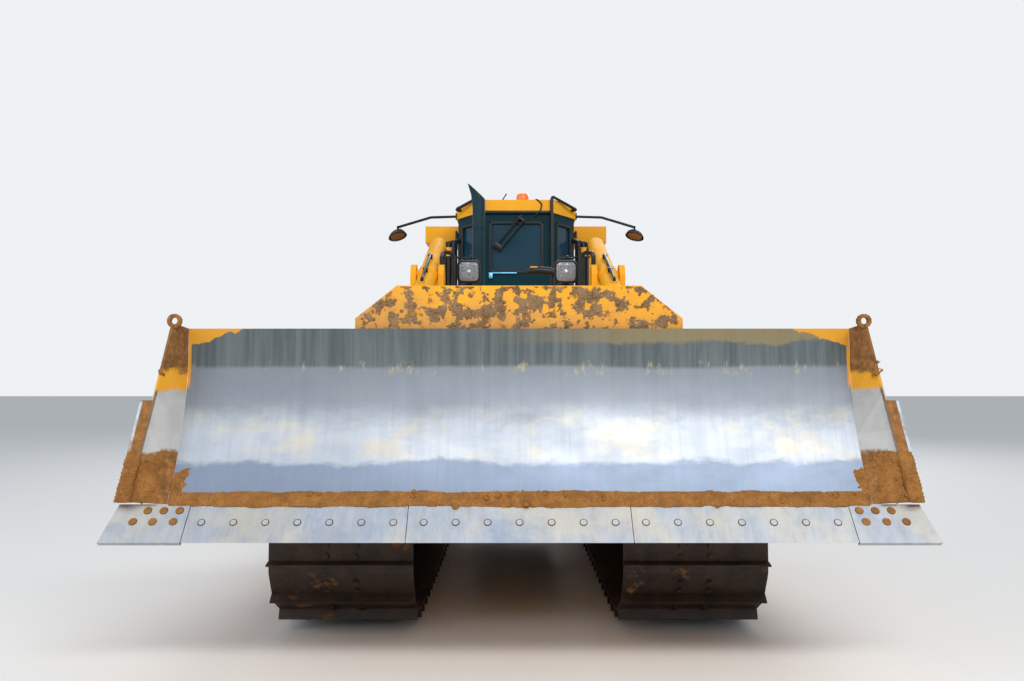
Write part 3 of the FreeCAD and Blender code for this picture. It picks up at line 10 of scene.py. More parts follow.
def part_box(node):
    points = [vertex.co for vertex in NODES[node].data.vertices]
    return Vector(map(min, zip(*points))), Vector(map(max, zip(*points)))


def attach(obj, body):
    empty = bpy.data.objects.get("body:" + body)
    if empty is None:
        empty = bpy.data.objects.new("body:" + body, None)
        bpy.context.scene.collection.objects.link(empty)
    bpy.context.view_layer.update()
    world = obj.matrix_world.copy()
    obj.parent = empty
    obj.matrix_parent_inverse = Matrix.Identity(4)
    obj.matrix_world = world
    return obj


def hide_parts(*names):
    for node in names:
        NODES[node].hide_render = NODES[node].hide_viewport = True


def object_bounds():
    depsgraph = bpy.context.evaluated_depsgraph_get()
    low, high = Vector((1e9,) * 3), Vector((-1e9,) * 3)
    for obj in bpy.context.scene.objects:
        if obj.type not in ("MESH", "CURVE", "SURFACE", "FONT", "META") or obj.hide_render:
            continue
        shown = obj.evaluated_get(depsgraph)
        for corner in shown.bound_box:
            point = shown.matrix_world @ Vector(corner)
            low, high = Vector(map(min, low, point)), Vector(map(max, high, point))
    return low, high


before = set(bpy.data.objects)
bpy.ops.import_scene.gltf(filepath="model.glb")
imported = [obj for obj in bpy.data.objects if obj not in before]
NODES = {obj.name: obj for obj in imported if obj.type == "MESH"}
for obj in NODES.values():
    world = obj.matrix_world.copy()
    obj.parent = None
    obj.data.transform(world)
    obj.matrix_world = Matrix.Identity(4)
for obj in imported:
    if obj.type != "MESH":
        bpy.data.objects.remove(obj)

bl_info = {
    "name": "Crawler Bulldozer Dressing",
    "version": (1, 0, 0),
    "blender": (4, 5, 0),
    "location": "View3D > Sidebar > Bulldozer",
    "description": "Finishes, mud, fittings and a plain studio for a packed crawler bulldozer",
    "category": "Object",
}

CAD_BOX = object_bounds()
TRACTOR = "tractor"
BLADE = "blade"
SIDES = (("left", -1.0), ("right", 1.0))
AHEAD = Vector((0, -1, 0))
UPWARD = Vector((0, 0, 1))


def colour_setting(name, description, default):
    """A colour that a user can change."""
    return bpy.props.FloatVectorProperty(name=name, description=description, default=default,
                                         subtype="COLOR", size=3, min=0.0, max=1.0)


def length_setting(name, description, default):
    """A length that a user can change."""
    return bpy.props.FloatProperty(name=name, description=description, default=default, unit="LENGTH")


class DozerFinish(bpy.types.PropertyGroup):
    """Colours of the finishes."""
    paint: colour_setting("Paint", "Yellow of the bodywork", (1.0, 0.45, 0.022))
    mud: colour_setting("Mud", "Dried soil on the blade and tracks", (0.30, 0.132, 0.036))
    steel: colour_setting("Blade steel", "Steel polished by soil", (0.395, 0.432, 0.489))
    cab: colour_setting("Cab paint", "Dark paint of the cab", (0.002, 0.027, 0.038))
    # The glass colour's blue is a painted reflection of the sky.
    glass: colour_setting("Glass", "Tint of the cab's windows", (0.018, 0.105, 0.180))


class DozerSizes(bpy.types.PropertyGroup):
    """Sizes of the fittings that the frame leaves to this file."""
    bolt_radius: length_setting("Edge bolt radius", "Plow bolt heads in the cutting edge", 0.019)
    bolt_pitch: length_setting("Edge bolt pitch", "Distance between plow bolts", 0.168)
    clod_size: length_setting("Clod size", "Usual width of a clod of soil", 0.05)
    clod_seed: bpy.props.IntProperty(name="Clod seed", description="Seed of every scatter of soil", default=11)


def finish_settings():
    """The colours of this scene."""
    return bpy.context.scene.dozer_finish


def size_settings():
    """The sizes of this scene."""
    return bpy.context.scene.dozer_sizes


def corners(node):
    """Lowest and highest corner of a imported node."""
    low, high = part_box(node)
    return Vector(low), Vector(high)


def rounds(count, turn=0.0):
    """Cosine and sine of evenly spaced angles, turned by a share of one space."""
    angles = [2 * math.pi * (step + turn) / count for step in range(count)]
    return [(math.cos(a), math.sin(a)) for a in angles]


def linked(name, data):
    """New object in the scene."""
    made = bpy.data.objects.new(name, data)
    bpy.context.scene.collection.objects.link(made)
    return made


class Shader:
    """Small helper that grows one node-based material."""

    def __init__(self, name, rough=0.6, metal=0.0, spec=0.5):
        self.material = bpy.data.materials.new(name)
        self.material.use_nodes = True
        self.tree = self.material.node_tree
        self.bsdf = self.tree.nodes["Principled BSDF"]
        self.preset({"Roughness": rough, "Metallic": metal, "Specular IOR Level": spec})
        self.place = self.tree.nodes.new("ShaderNodeTexCoord").outputs["Object"]

    def preset(self, values):
        """Sets the shader's inputs to plain values."""
        for key, value in values.items():
            self.bsdf.inputs[key].default_value = value

    def link(self, source, target):
        """Joins an output to an input, or sets the input to a plain value."""
        if isinstance(source, bpy.types.NodeSocket):
            self.tree.links.new(source, target)
        else:
            target.default_value = source

    def node(self, kind, values, **settings):
        """A node with its settings and with some of its inputs joined or set, by name or place."""
        made = self.tree.nodes.new(kind)
        for key, value in settings.items():
            setattr(made, key, value)
        for key, value in values.items():
            self.link(value, made.inputs[key])
        return made

    def stretched(self, scale):
        """Object coordinates, scaled along each axis."""
        return self.node("ShaderNodeMapping", {"Vector": self.place, "Scale": scale}).outputs["Vector"]

    def noise(self, scale, detail=6.0, rough=0.6, where=None):
        """Fractal noise from 0 to 1."""
        values = {"Vector": where or self.place, "Scale": scale, "Detail": detail, "Roughness": rough}
        return self.node("ShaderNodeTexNoise", values).outputs["Fac"]

    def streaks(self, scale, detail, rough):
        """Noise stretched along the axes."""
        return self.noise(1.0, detail, rough, self.stretched(scale))

    def cells(self, scale):
        """Distance to the nearest of scattered points."""
        return self.node("ShaderNodeTexVoronoi", {"Vector": self.place, "Scale": scale}).outputs["Distance"]

    def ramp(self, source, low, high):
        """0 below low, 1 above high, smooth between."""
        values = {"Value": source, "From Min": low, "From Max": high}
        return self.node("ShaderNodeMapRange", values, interpolation_type="SMOOTHSTEP").outputs["Result"]

    def math(self, operation, *values):
        """One arithmetic step on outputs or numbers."""
        return self.node("ShaderNodeMath", dict(enumerate(values)), operation=operation).outputs[0]

    def plus(self, a, b):
        """Sum."""
        return self.math("ADD", a, b)

    def minus(self, a, b):
        """Difference."""
        return self.math("SUBTRACT", a, b)

    def times(self, a, b):
        """Product."""
        return self.math("MULTIPLY", a, b)

    def most(self, a, b):
        """Larger of two."""
        return self.math("MAXIMUM", a, b)

    def frayed(self, source, noise, amount):
        """A measure that noise shifts either way."""
        return self.plus(source, self.times(self.minus(noise, 0.5), amount))

    def axis(self, which):
        """One coordinate of the place, in metres."""
        return self.node("ShaderNodeSeparateXYZ", {0: self.place}).outputs[which]

    def mix(self, share, first, second):
        """Blend of two colours, each an output or a tuple."""
        made = self.node("ShaderNodeMix", {0: share}, data_type="RGBA")
        for socket, value in ((made.inputs[6], first), (made.inputs[7], second)):
            self.link(value if isinstance(value, bpy.types.NodeSocket) else (*value, 1.0), socket)
        return made.outputs[2]

    def over(self, colour, share, amount, layer):
        """A colour partly covered by another."""
        return self.mix(self.times(share, amount), colour, layer)

    def mottled(self, noise, low, high, first, second):
        """Two colours mixed by noise between two levels."""
        return self.mix(self.ramp(noise, low, high), first, second)

    def blend(self, share, first, second):
        """Blend of two numbers."""
        return self.node("ShaderNodeMix", {0: share, 2: first, 3: second}).outputs[0]

    def surface(self, colour, roughness=None, metallic=None):
        """Joins the base colour and, where given, the roughness and metalness."""
        for key, source in (("Base Color", colour), ("Roughness", roughness), ("Metallic", metallic)):
            if source is not None:
                self.link(source, self.bsdf.inputs[key])

    def bump(self, source, strength, distance):
        """Adds relief."""
        made = self.node("ShaderNodeBump", {"Strength": strength, "Distance": distance, "Height": source})
        self.link(made.outputs["Normal"], self.bsdf.inputs["Normal"])


def shade(colour, factor):
    """A colour made darker or lighter."""
    return tuple(min(1.0, part * factor) for part in colour)


DRY_SMEAR = (0.56, 0.27, 0.095)


def yellow_paint(name, dust, mud, mud_scale=9.0, spec=0.12, foot=None):
    """Yellow enamel with a film of dust, dried spots of mud and, above a foot, a smear of soil."""
    f = finish_settings()
    s = Shader(name, rough=0.55, spec=spec)
    paint = s.mottled(s.noise(1.7, 4.0), 0.3, 0.7, shade(f.paint, 0.90), shade(f.paint, 1.06))
    film = s.ramp(s.noise(3.1, 9.0, 0.72), 0.62 - dust, 0.86)
    dusty = s.over(paint, film, 0.6, shade(f.mud, 2.3))
    if foot is not None:
        height = s.frayed(s.axis("Z"), s.noise(11.0, 9.0, 0.75), 0.55)
        smear = s.plus(height, s.times(s.axis("X"), 0.06))
        dusty = s.over(dusty, s.ramp(smear, foot + 0.30, foot - 0.02), 0.80, DRY_SMEAR)
    spots = s.ramp(s.noise(mud_scale, 10.0, 0.66), 0.74 - mud, 0.80 - mud)
    s.surface(s.mix(spots, dusty, shade(f.mud, 1.25)), s.blend(s.most(film, spots), 0.46, 0.93))
    s.bump(s.plus(s.times(spots, s.noise(60.0, 5.0)), s.times(s.noise(140.0, 2.0), 0.04)), 0.6, 0.010)
    return s.material


# Tones of the moldboard, from its foot to its top, and heights of its folds below its top edge. The upper part's
# grey and the top fold's dark tones are painted shade.
FOOT_BLUE = (0.125, 0.175, 0.270)
CLOUD_BLUE = (0.28, 0.33, 0.41)
WARM_STAIN = (0.58, 0.50, 0.33)
UPPER_SHADE = (0.135, 0.155, 0.185)
SCRATCHED_PAINT = (0.40, 0.36, 0.22)
TOP_FOLD_SHADE = ((0.055, 0.075, 0.080), (0.13, 0.155, 0.155))
LIP_OLIVE = (0.30, 0.23, 0.11)
HIGH_FOLD = 0.205
LOW_FOLD = 0.765
CORNER_SLOPE = 3.4


def polished_steel(name, top):
    """Moldboard steel in three folds, scoured upright by the soil, with paint left in its top corners and painted
    shade over its upper part and top fold.
    """
    f = finish_settings()
    s = Shader(name, rough=0.34, metal=0.9)
    upright = s.streaks((22.0, 1.6, 0.9), 7.0, 0.65)
    fine = s.streaks((150.0, 6.0, 3.0), 5.0, 0.7)
    patches = s.streaks((1.1, 1.5, 2.6), 6.0, 0.6)
    blotch = s.streaks((3.2, 2.0, 6.0), 8.0, 0.68)
    height, across = s.axis("Z"), s.math("ABSOLUTE", s.axis("X"))
    ragged = s.frayed(height, patches, 0.05)
    cloudy = s.frayed(height, blotch, 0.14)
    cloudier = s.frayed(height, blotch, 0.16)
    steel = s.mottled(upright, 0.32, 0.72, shade(f.steel, 0.90), shade(f.steel, 1.08))
    steel = s.mottled(fine, 0.35, 0.75, steel, shade(f.steel, 1.04))
    steel = s.over(steel, s.ramp(blotch, 0.40, 0.72), 0.45, CLOUD_BLUE)
    # Painted shade: the upper part is darkened towards the top.
    steel = s.over(steel, s.ramp(cloudy, top - 0.60, top - 0.40), 0.66, UPPER_SHADE)
    steel = s.over(steel, s.ramp(cloudier, top - LOW_FOLD + 0.04, top - LOW_FOLD), 0.72, FOOT_BLUE)
    bright_band = s.minus(s.ramp(height, top - 0.76, top - 0.70), s.ramp(height, top - 0.56, top - 0.40))
    stained = s.ramp(s.streaks((4.0, 1.0, 6.0), 8.0, 0.7), 0.46, 0.66)
    steel = s.over(steel, s.times(stained, bright_band), 0.42, WARM_STAIN)
    high_fold = s.ramp(ragged, top - HIGH_FOLD - 0.03, top - HIGH_FOLD)
    # Painted shade: the forward-leaning top fold is painted dark grey-green.
    steel = s.over(steel, high_fold, 0.86, s.mottled(upright, 0.3, 0.7, *TOP_FOLD_SHADE))
    right_lip = s.times(s.ramp(cloudier, top - 0.095, top - 0.065), s.ramp(s.axis("X"), -0.3, 0.8))
    steel = s.over(steel, right_lip, 0.72, LIP_OLIVE)
    crease = s.minus(s.ramp(height, top - 0.285, top - 0.235), s.ramp(height, top - 0.225, top - 0.17))
    scratch = s.ramp(s.streaks((14.0, 2.0, 5.0), 8.0, 0.75), 0.56, 0.62)
    steel = s.over(steel, s.times(scratch, crease), 0.8, SCRATCHED_PAINT)
    corner = s.plus(s.plus(across, s.times(height, CORNER_SLOPE)), s.times(s.noise(5.0, 8.0, 0.7), 0.50))
    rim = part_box("moldboard")[1][0]
    slant = rim + CORNER_SLOPE * top
    side_strip = s.times(s.ramp(across, rim - 0.020, rim - 0.012), s.ramp(ragged, top - 0.36, top - 0.30))
    kept_paint = s.most(s.ramp(corner, slant - 0.10, slant - 0.07), side_strip)
    s.surface(s.mix(kept_paint, steel, shade(f.paint, 0.72)), s.blend(s.ramp(patches, 0.3, 0.75), 0.44, 0.60),
              s.blend(s.most(kept_paint, s.times(high_fold, 0.4)), 0.88, 0.0))
    s.bump(s.plus(s.times(upright, 0.7), s.times(fine, 0.3)), 0.30, 0.003)
    return s.material


WORN_GREY = ((0.44, 0.44, 0.435), (0.56, 0.555, 0.545))
# The end plates lean: their front edge and outer flange lie on planes given by these slopes and offsets.
PLATE_LEAN_OUT = 0.1813
PLATE_LEAN_BACK = 0.1326
WEAR_REACH = 2.314
WEAR_AHEAD = -2.946
FLANGE_REACH = 2.2625
FLANGE_AHEAD = -2.9235


def end_plate_finish(name, top):
    """End plates: mud, then a worn patch under a fringe of paint, then mud, and a bright strip in front."""
    f = finish_settings()
    s = Shader(name, rough=0.8)
    height = s.frayed(s.axis("Z"), s.noise(6.0, 8.0, 0.7), 0.16)
    grain = s.noise(30.0, 9.0, 0.75)
    mud = s.mottled(s.noise(7.0, 8.0, 0.7), 0.35, 0.70, shade(f.mud, 0.62), shade(f.mud, 1.15))
    mud = s.mottled(grain, 0.42, 0.68, mud, shade(f.mud, 1.55))
    worn = s.mottled(s.noise(5.0, 7.0, 0.65), 0.3, 0.7, *WORN_GREY)
    reach = s.plus(s.math("ABSOLUTE", s.axis("X")), s.times(s.axis("Z"), PLATE_LEAN_OUT))
    ahead = s.minus(s.axis("Y"), s.times(s.axis("Z"), PLATE_LEAN_BACK))
    flange = s.times(s.ramp(reach, FLANGE_REACH - 0.002, FLANGE_REACH),
                     s.ramp(ahead, FLANGE_AHEAD + 0.004, FLANGE_AHEAD))
    in_worn = s.times(s.ramp(height, top - 0.70, top - 0.67), s.ramp(height, top - 0.31, top - 0.34))
    in_worn = s.times(in_worn, s.minus(1.0, flange))
    in_paint = s.times(s.ramp(height, top - 0.36, top - 0.33), s.ramp(height, top - 0.23, top - 0.26))
    strip = s.times(s.ramp(reach, WEAR_REACH, WEAR_REACH + 0.004),
                    s.ramp(ahead, WEAR_AHEAD, WEAR_AHEAD - 0.003))
    strip = s.times(strip, s.ramp(s.noise(5.0, 6.0, 0.6), 0.68, 0.52))
    strip = s.times(strip, s.ramp(height, top - 0.38, top - 0.42))
    colour = s.mix(in_paint, s.mix(in_worn, mud, worn), shade(f.paint, 0.9))
    clean = s.most(s.most(in_worn, strip), in_paint)
    s.surface(s.mix(strip, colour, shade(f.steel, 1.35)), s.blend(clean, 0.95, 0.58), s.blend(strip, 0.0, 0.7))
    s.bump(s.times(s.minus(1.0, clean), grain), 0.8, 0.012)
    return s.material


EDGE_STAIN = (0.60, 0.55, 0.44)
EDGE_BLUE = (0.20, 0.27, 0.42)


def edge_steel():
    """Cutting edge steel: pale, scratched, with a stain here and there."""
    f = finish_settings()
    s = Shader("edge_steel", rough=0.45, metal=0.75)
    along = s.streaks((26.0, 8.0, 4.0), 6.0, 0.7)
    blotch = s.noise(2.2, 7.0, 0.6)
    steel = s.mottled(along, 0.3, 0.7, shade(f.steel, 0.92), shade(f.steel, 1.12))
    steel = s.over(steel, s.ramp(s.noise(3.4, 8.0, 0.68), 0.42, 0.62), 0.55, EDGE_STAIN)
    steel = s.over(steel, s.ramp(blotch, 0.50, 0.66), 0.50, EDGE_BLUE)
    steel = s.over(steel, s.ramp(s.noise(38.0, 6.0, 0.7), 0.66, 0.72), 0.7, shade(f.mud, 1.4))
    s.surface(steel, s.blend(s.ramp(blotch, 0.3, 0.8), 0.36, 0.60))
    s.bump(along, 0.3, 0.003)
    return s.material


RUBBED_STEEL = (0.42, 0.42, 0.43)


def worn_steel(name, dark, pale, mud_share, bright=0.0):
    """Rusty undercarriage steel with packed soil and, where bright, rubbed spots."""
    f = finish_settings()
    s = Shader(name, rough=0.72, metal=0.35)
    rust = s.mottled(s.noise(7.0, 9.0, 0.7), 0.3, 0.7, dark, pale)
    soil = s.ramp(s.noise(4.0, 11.0, 0.7), 0.66 - mud_share, 0.80 - mud_share)
    colour = s.mix(soil, rust, shade(f.mud, 1.1))
    if bright:
        colour = s.over(colour, s.ramp(s.noise(11.0, 4.0, 0.5), 0.60, 0.66), bright, RUBBED_STEEL)
    s.surface(colour, s.blend(soil, 0.55, 0.95))
    s.bump(s.plus(s.times(soil, s.noise(45.0, 6.0)), s.times(s.noise(90.0, 4.0), 0.15)), 0.7, 0.012)
    return s.material


def dark_paint(name, colour, rough=0.38, dust=0.25, spec=0.25):
    """Dark enamel with a little dust."""
    f = finish_settings()
    s = Shader(name, rough=rough, spec=spec)
    film = s.ramp(s.noise(5.0, 9.0, 0.7), 0.60, 0.95)
    tone = s.mottled(s.noise(1.3, 3.0), 0.3, 0.7, shade(colour, 0.8), shade(colour, 1.3))
    s.surface(s.over(tone, film, dust, shade(f.mud, 1.6)), s.blend(film, rough, 0.8))
    s.bump(s.noise(220.0, 3.0), 0.12, 0.002)
    return s.material


def chrome_like(name, colour, rough=0.12):
    """Bright plated metal with a film of oil or dust."""
    s = Shader(name, rough=rough, metal=1.0)
    s.surface(s.mottled(s.noise(9.0, 5.0), 0.3, 0.8, colour, shade(colour, 0.72)),
              s.blend(s.ramp(s.noise(30.0, 6.0), 0.4, 0.8), rough, rough + 0.18))
    return s.material


def glass_with_painted_sky(name, tint):
    """Window glass with wiped dust over a blue base colour that is a painted reflection of the sky."""
    f = finish_settings()
    s = Shader(name, rough=0.03)
    s.preset({"Transmission Weight": 0.55, "IOR": 1.25})
    film = s.ramp(s.noise(3.0, 7.0, 0.7), 0.35, 0.9)
    s.surface(s.over(tint, film, 0.10, shade(f.mud, 2.4)), s.blend(film, 0.03, 0.118))
    return s.material


def ribbed_lens():
    """Moulded lamp glass whose facets catch the sky."""
    s = Shader("lamp_glass", rough=0.12)
    facets = s.cells(60.0)
    s.surface(s.mottled(facets, 0.05, 0.50, (0.10, 0.12, 0.15), (0.26, 0.29, 0.34)))
    s.bump(facets, 0.5, 0.004)
    return s.material


PALE_SOIL = ((0.27, 0.16, 0.078), (0.40, 0.25, 0.13))


def soil_material():
    """Dried brown soil, paler on the spill guard."""
    f = finish_settings()
    s = Shader("soil", rough=0.96, spec=0.2)
    tone = s.mottled(s.noise(14.0, 9.0, 0.72), 0.30, 0.72, shade(f.mud, 0.90), shade(f.mud, 1.70))
    dry = s.mottled(s.cells(90.0), 0.05, 0.5, shade(f.mud, 0.9), tone)
    pale = s.mottled(s.noise(9.0, 8.0, 0.7), 0.35, 0.7, *PALE_SOIL)
    guard_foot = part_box("spill_guard")[0][2]
    s.surface(s.mottled(s.axis("Z"), guard_foot - 0.02, guard_foot + 0.02, dry, pale))
    s.bump(s.plus(s.noise(55.0, 8.0, 0.7), s.times(s.cells(130.0), 0.6)), 0.8, 0.012)
    return s.material


def beacon_plastic():
    """Orange moulded beacon."""
    s = Shader("beacon_plastic", rough=0.22)
    rings = s.ramp(s.streaks((2.0, 2.0, 90.0), 2.0, 0.5), 0.3, 0.7)
    s.surface(s.mix(rings, (0.95, 0.16, 0.012), (1.0, 0.26, 0.03)))
    s.preset({"Emission Color": (1.0, 0.16, 0.02, 1.0), "Emission Strength": 0.12})
    s.bump(rings, 0.2, 0.002)
    return s.material


def grained_plastic(name, colour, rough=0.6):
    """Moulded plastic or rubber with a fine grain."""
    s = Shader(name, rough=rough)
    s.surface(s.mottled(s.noise(6.0, 5.0), 0.3, 0.7, shade(colour, 0.8), shade(colour, 1.25)))
    s.bump(s.cells(420.0), 0.25, 0.0015)
    return s.material


def seat_cloth():
    """Woven seat cloth."""
    s = Shader("seat_cloth", rough=0.9, spec=0.2)
    warp = s.streaks((900.0, 60.0, 60.0), 2.0, 0.5)
    weft = s.streaks((60.0, 900.0, 900.0), 2.0, 0.5)
    weave = s.times(warp, weft)
    s.surface(s.mottled(weave, 0.15, 0.35, (0.018, 0.019, 0.022), (0.055, 0.057, 0.064)))
    s.preset({"Sheen Weight": 0.3})
    s.bump(weave, 0.4, 0.001)
    return s.material


PALETTE = {}


def make_palette():
    """Every finish, once."""
    f = finish_settings()
    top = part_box("moldboard")[1][2]
    guard_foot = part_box("spill_guard")[0][2]
    PALETTE.update({
        "paint": yellow_paint("yellow_paint", 0.02, 0.02),
        "paint_deep": yellow_paint("yellow_paint_deep", 0.0, 0.02, spec=0.015),
        "paint_dusty": yellow_paint("yellow_paint_dusty", 0.16, 0.14, 6.0),
        "paint_muddy": yellow_paint("yellow_paint_muddy", 0.30, 0.15, 16.0, foot=guard_foot),
        "blade_steel": polished_steel("blade_steel", top),
        "end_plate": end_plate_finish("end_plate_finish", top),
        "edge_steel": edge_steel(),
        # The track colours are darkened as painted shade, as if they lay under the blade's shadow.
        "track": worn_steel("track_steel", (0.011, 0.008, 0.006), (0.045, 0.024, 0.014), 0.09),
        "wheels": worn_steel("wheel_steel", (0.030, 0.018, 0.012), (0.10, 0.045, 0.022), 0.12, 0.5),
        "frame": worn_steel("frame_steel", (0.035, 0.026, 0.020), (0.10, 0.065, 0.040), 0.10),
        "cab": dark_paint("cab_paint", f.cab, 0.42, 0.015, 0.08),
        "stack": dark_paint("exhaust_black", (0.010, 0.036, 0.050), 0.42, 0.04, 0.12),
        "black": dark_paint("black_paint", (0.016, 0.018, 0.022), 0.34, 0.12),
        "chrome": chrome_like("chrome_rod", (0.72, 0.73, 0.75)),
        "glass": glass_with_painted_sky("cab_window_glass", f.glass),
        "lens": ribbed_lens(),
        "beacon": beacon_plastic(),
        "cloth": seat_cloth(),
        "plastic": grained_plastic("console_plastic", (0.030, 0.032, 0.036)),
        "rubber": grained_plastic("rubber", (0.014, 0.014, 0.016), 0.7),
        "soil": soil_material(),
        "ring_brown": worn_steel("bolt_ring", (0.075, 0.050, 0.026), (0.16, 0.105, 0.055), 0.10),
        "socket": worn_steel("bolt_socket", (0.020, 0.016, 0.014), (0.060, 0.045, 0.035), 0.10),
        "reflector": chrome_like("lamp_reflector", (0.80, 0.82, 0.84), 0.16),
        # Bright metal whose pale blue colour is a painted reflection of the sky.
        "sill": chrome_like("window_sill", (0.20, 0.55, 0.85), 0.45),
        "lamp_brown": dark_paint("arm_lamp_face", (0.30, 0.12, 0.035), 0.35, 0.2),
    })


PAINTED = {
    "paint": ("hood", "radiator_guard", "lift_yokes", "engine_door_left", "engine_door_right", "fuel_tank",
              "cab_roof", "rops_frame", "lift_barrel_left", "lift_barrel_right"),
    "paint_dusty": ("track_frames", "final_drives", "fenders", "push_arms", "pitch_braces", "blade_frame"),
    "paint_muddy": ("spill_guard",),
    "end_plate": ("end_plates",),
    "blade_steel": ("moldboard",),
    "edge_steel": ("cutting_edges", "end_bits"),
    "track": ("track_left", "track_right"),
    "wheels": ("sprockets", "idlers", "track_rollers", "carrier_rollers"),
    "frame": ("main_frame", "engine_block", "radiator_core", "equalizer_bar", "pivot_shafts", "deck", "drawbar"),
    "cab": ("cab_frame", "cab_door_left", "cab_door_right"),
    "stack": ("exhaust_stack",),
    "black": ("radiator_grille", "work_lamps", "lamp_arms", "grab_rails", "lift_pipes"),
    "chrome": ("lift_rod_left", "lift_rod_right"),
    "glass": ("cab_glass", "cab_door_glass_left", "cab_door_glass_right"),
    "lens": ("lamp_lenses",),
    "beacon": ("beacon",),
    "cloth": ("seat_cushion", "seat_back"),
    "plastic": ("seat_base", "console", "armrests"),
}


def mesh_object(name, verts, faces=()):
    """Object from plain vertices and faces."""
    mesh = bpy.data.meshes.new(name)
    mesh.from_pydata([tuple(vert) for vert in verts], [], faces)
    return linked(name, mesh)


def finish_piece(piece, body, replaced=()):
    """Hands a finished piece to its body, and hides the parts it replaces."""
    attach(piece, body)
    if replaced:
        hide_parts(*replaced)
    return piece


# The photograph's viewpoint: its frame is 1024 x 681 pixels, and its horizon lies below the middle.
PHOTO_WIDTH = 1024.0
PHOTO_HEIGHT = 681.0
FOCAL_PIXELS = 850.0
HORIZON_PIXEL = 375.0
SENSOR_MM = 36.0
CAMERA_PLACE = (-0.04, -7.36, 1.675)

FLOOR_REACH = 60.0
FLOOR_GAP = 0.002
FLOOR_COLOUR = (0.90, 0.90, 0.89, 1.0)
SKY_COLOUR = (0.78, 0.84, 0.92, 1.0)
SKY_STRENGTH = 0.50
BACKGROUND_COLOUR = (0.86, 0.88, 0.90, 1.0)
KEY_TINT = (1.0, 0.97, 0.92)


def look_camera():
    """Camera where the photographer stood: low, square on, tilted up a little."""
    data = bpy.data.cameras.new("camera")
    data.sensor_fit = "HORIZONTAL"
    data.sensor_width = SENSOR_MM
    data.lens = FOCAL_PIXELS / PHOTO_WIDTH * SENSOR_MM
    camera = linked("camera", data)
    pitch = math.atan((HORIZON_PIXEL - PHOTO_HEIGHT / 2) / FOCAL_PIXELS)
    camera.location = CAMERA_PLACE
    camera.rotation_euler = (math.pi / 2 + pitch, 0.0, 0.0)
    bpy.context.scene.camera = camera


def area_light(name, place, target, size, watts, tint=(1.0, 1.0, 1.0), height=None):
    """One soft lamp aimed at a point, round unless it has a height."""
    data = bpy.data.lights.new(name, "AREA")
    data.shape = "RECTANGLE" if height else "DISK"
    data.size = size
    data.size_y = height or size
    data.energy = watts
    data.color = tint
    lamp = linked(name, data)
    lamp.location = place
    lamp.rotation_euler = (Vector(target) - Vector(place)).to_track_quat("-Z", "Y").to_euler()


def pale_floor():
    """Plain floor under the tracks, which the object's box leaves out."""
    reach = FLOOR_REACH
    rim = [(-reach, -reach, 0), (reach, -reach, 0), (reach, reach, 0), (-reach, reach, 0)]
    floor = mesh_object("floor", rim, [(0, 1, 2, 3)])
    floor.location.z = CAD_BOX[0][2] - FLOOR_GAP
    ground = Shader("pale_floor", rough=0.85)
    ground.surface(FLOOR_COLOUR)
    floor.data.materials.append(ground.material)


def studio_world():
    """Plain world light, with a pale background where the camera, metal and glass look."""
    world = bpy.data.worlds.new("studio")
    world.use_nodes = True
    tree = world.node_tree
    sky = tree.nodes["Background"]
    seen = tree.nodes.new("ShaderNodeBackground")
    for node, colour, strength in ((sky, SKY_COLOUR, SKY_STRENGTH), (seen, BACKGROUND_COLOUR, 1.0)):
        node.inputs["Color"].default_value = colour
        node.inputs["Strength"].default_value = strength
    rays = tree.nodes.new("ShaderNodeLightPath").outputs
    looked_at = rays["Is Camera Ray"]
    for kind in ("Is Transmission Ray", "Is Glossy Ray"):
        either = tree.nodes.new("ShaderNodeMath")
        either.operation = "MAXIMUM"
        tree.links.new(looked_at, either.inputs[0])
        tree.links.new(rays[kind], either.inputs[1])
        looked_at = either.outputs[0]
    choose = tree.nodes.new("ShaderNodeMixShader")
    for source, target in zip((looked_at, sky.outputs[0], seen.outputs[0]), choose.inputs):
        tree.links.new(source, target)
    tree.links.new(choose.outputs[0], tree.nodes["World Output"].inputs["Surface"])
    bpy.context.scene.world = world


class DOZER_OT_stage(bpy.types.Operator):
    """Plain pale floor, soft lamps and the camera"""
    bl_idname = "dozer.stage"
    bl_label = "Stage"

    def execute(self, context):
        look_camera()
        pale_floor()
        area_light("key", (2.6, -11.0, 8.6), (0, 0, 1.2), 9.0, 820.0, KEY_TINT, 1.6)
        area_light("fill", (-10.0, -8.0, 6.0), (0, 0, 1.4), 8.0, 330.0)
        area_light("back", (2.0, 12.0, 9.0), (0, 0, 1.5), 8.0, 700.0)
        studio_world()
        context.scene.view_settings.view_transform = "Standard"
        return {"FINISHED"}


class DOZER_OT_paint(bpy.types.Operator):
    """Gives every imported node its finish"""
    bl_idname = "dozer.paint"
    bl_label = "Paint the nodes"

    def execute(self, context):
        make_palette()
        for finish, names in PAINTED.items():
            for name in names:
                materials = NODES[name].data.materials
                if not materials:
                    materials.append(PALETTE[finish])
                for index in range(len(materials)):
                    materials[index] = PALETTE[finish]
        return {"FINISHED"}


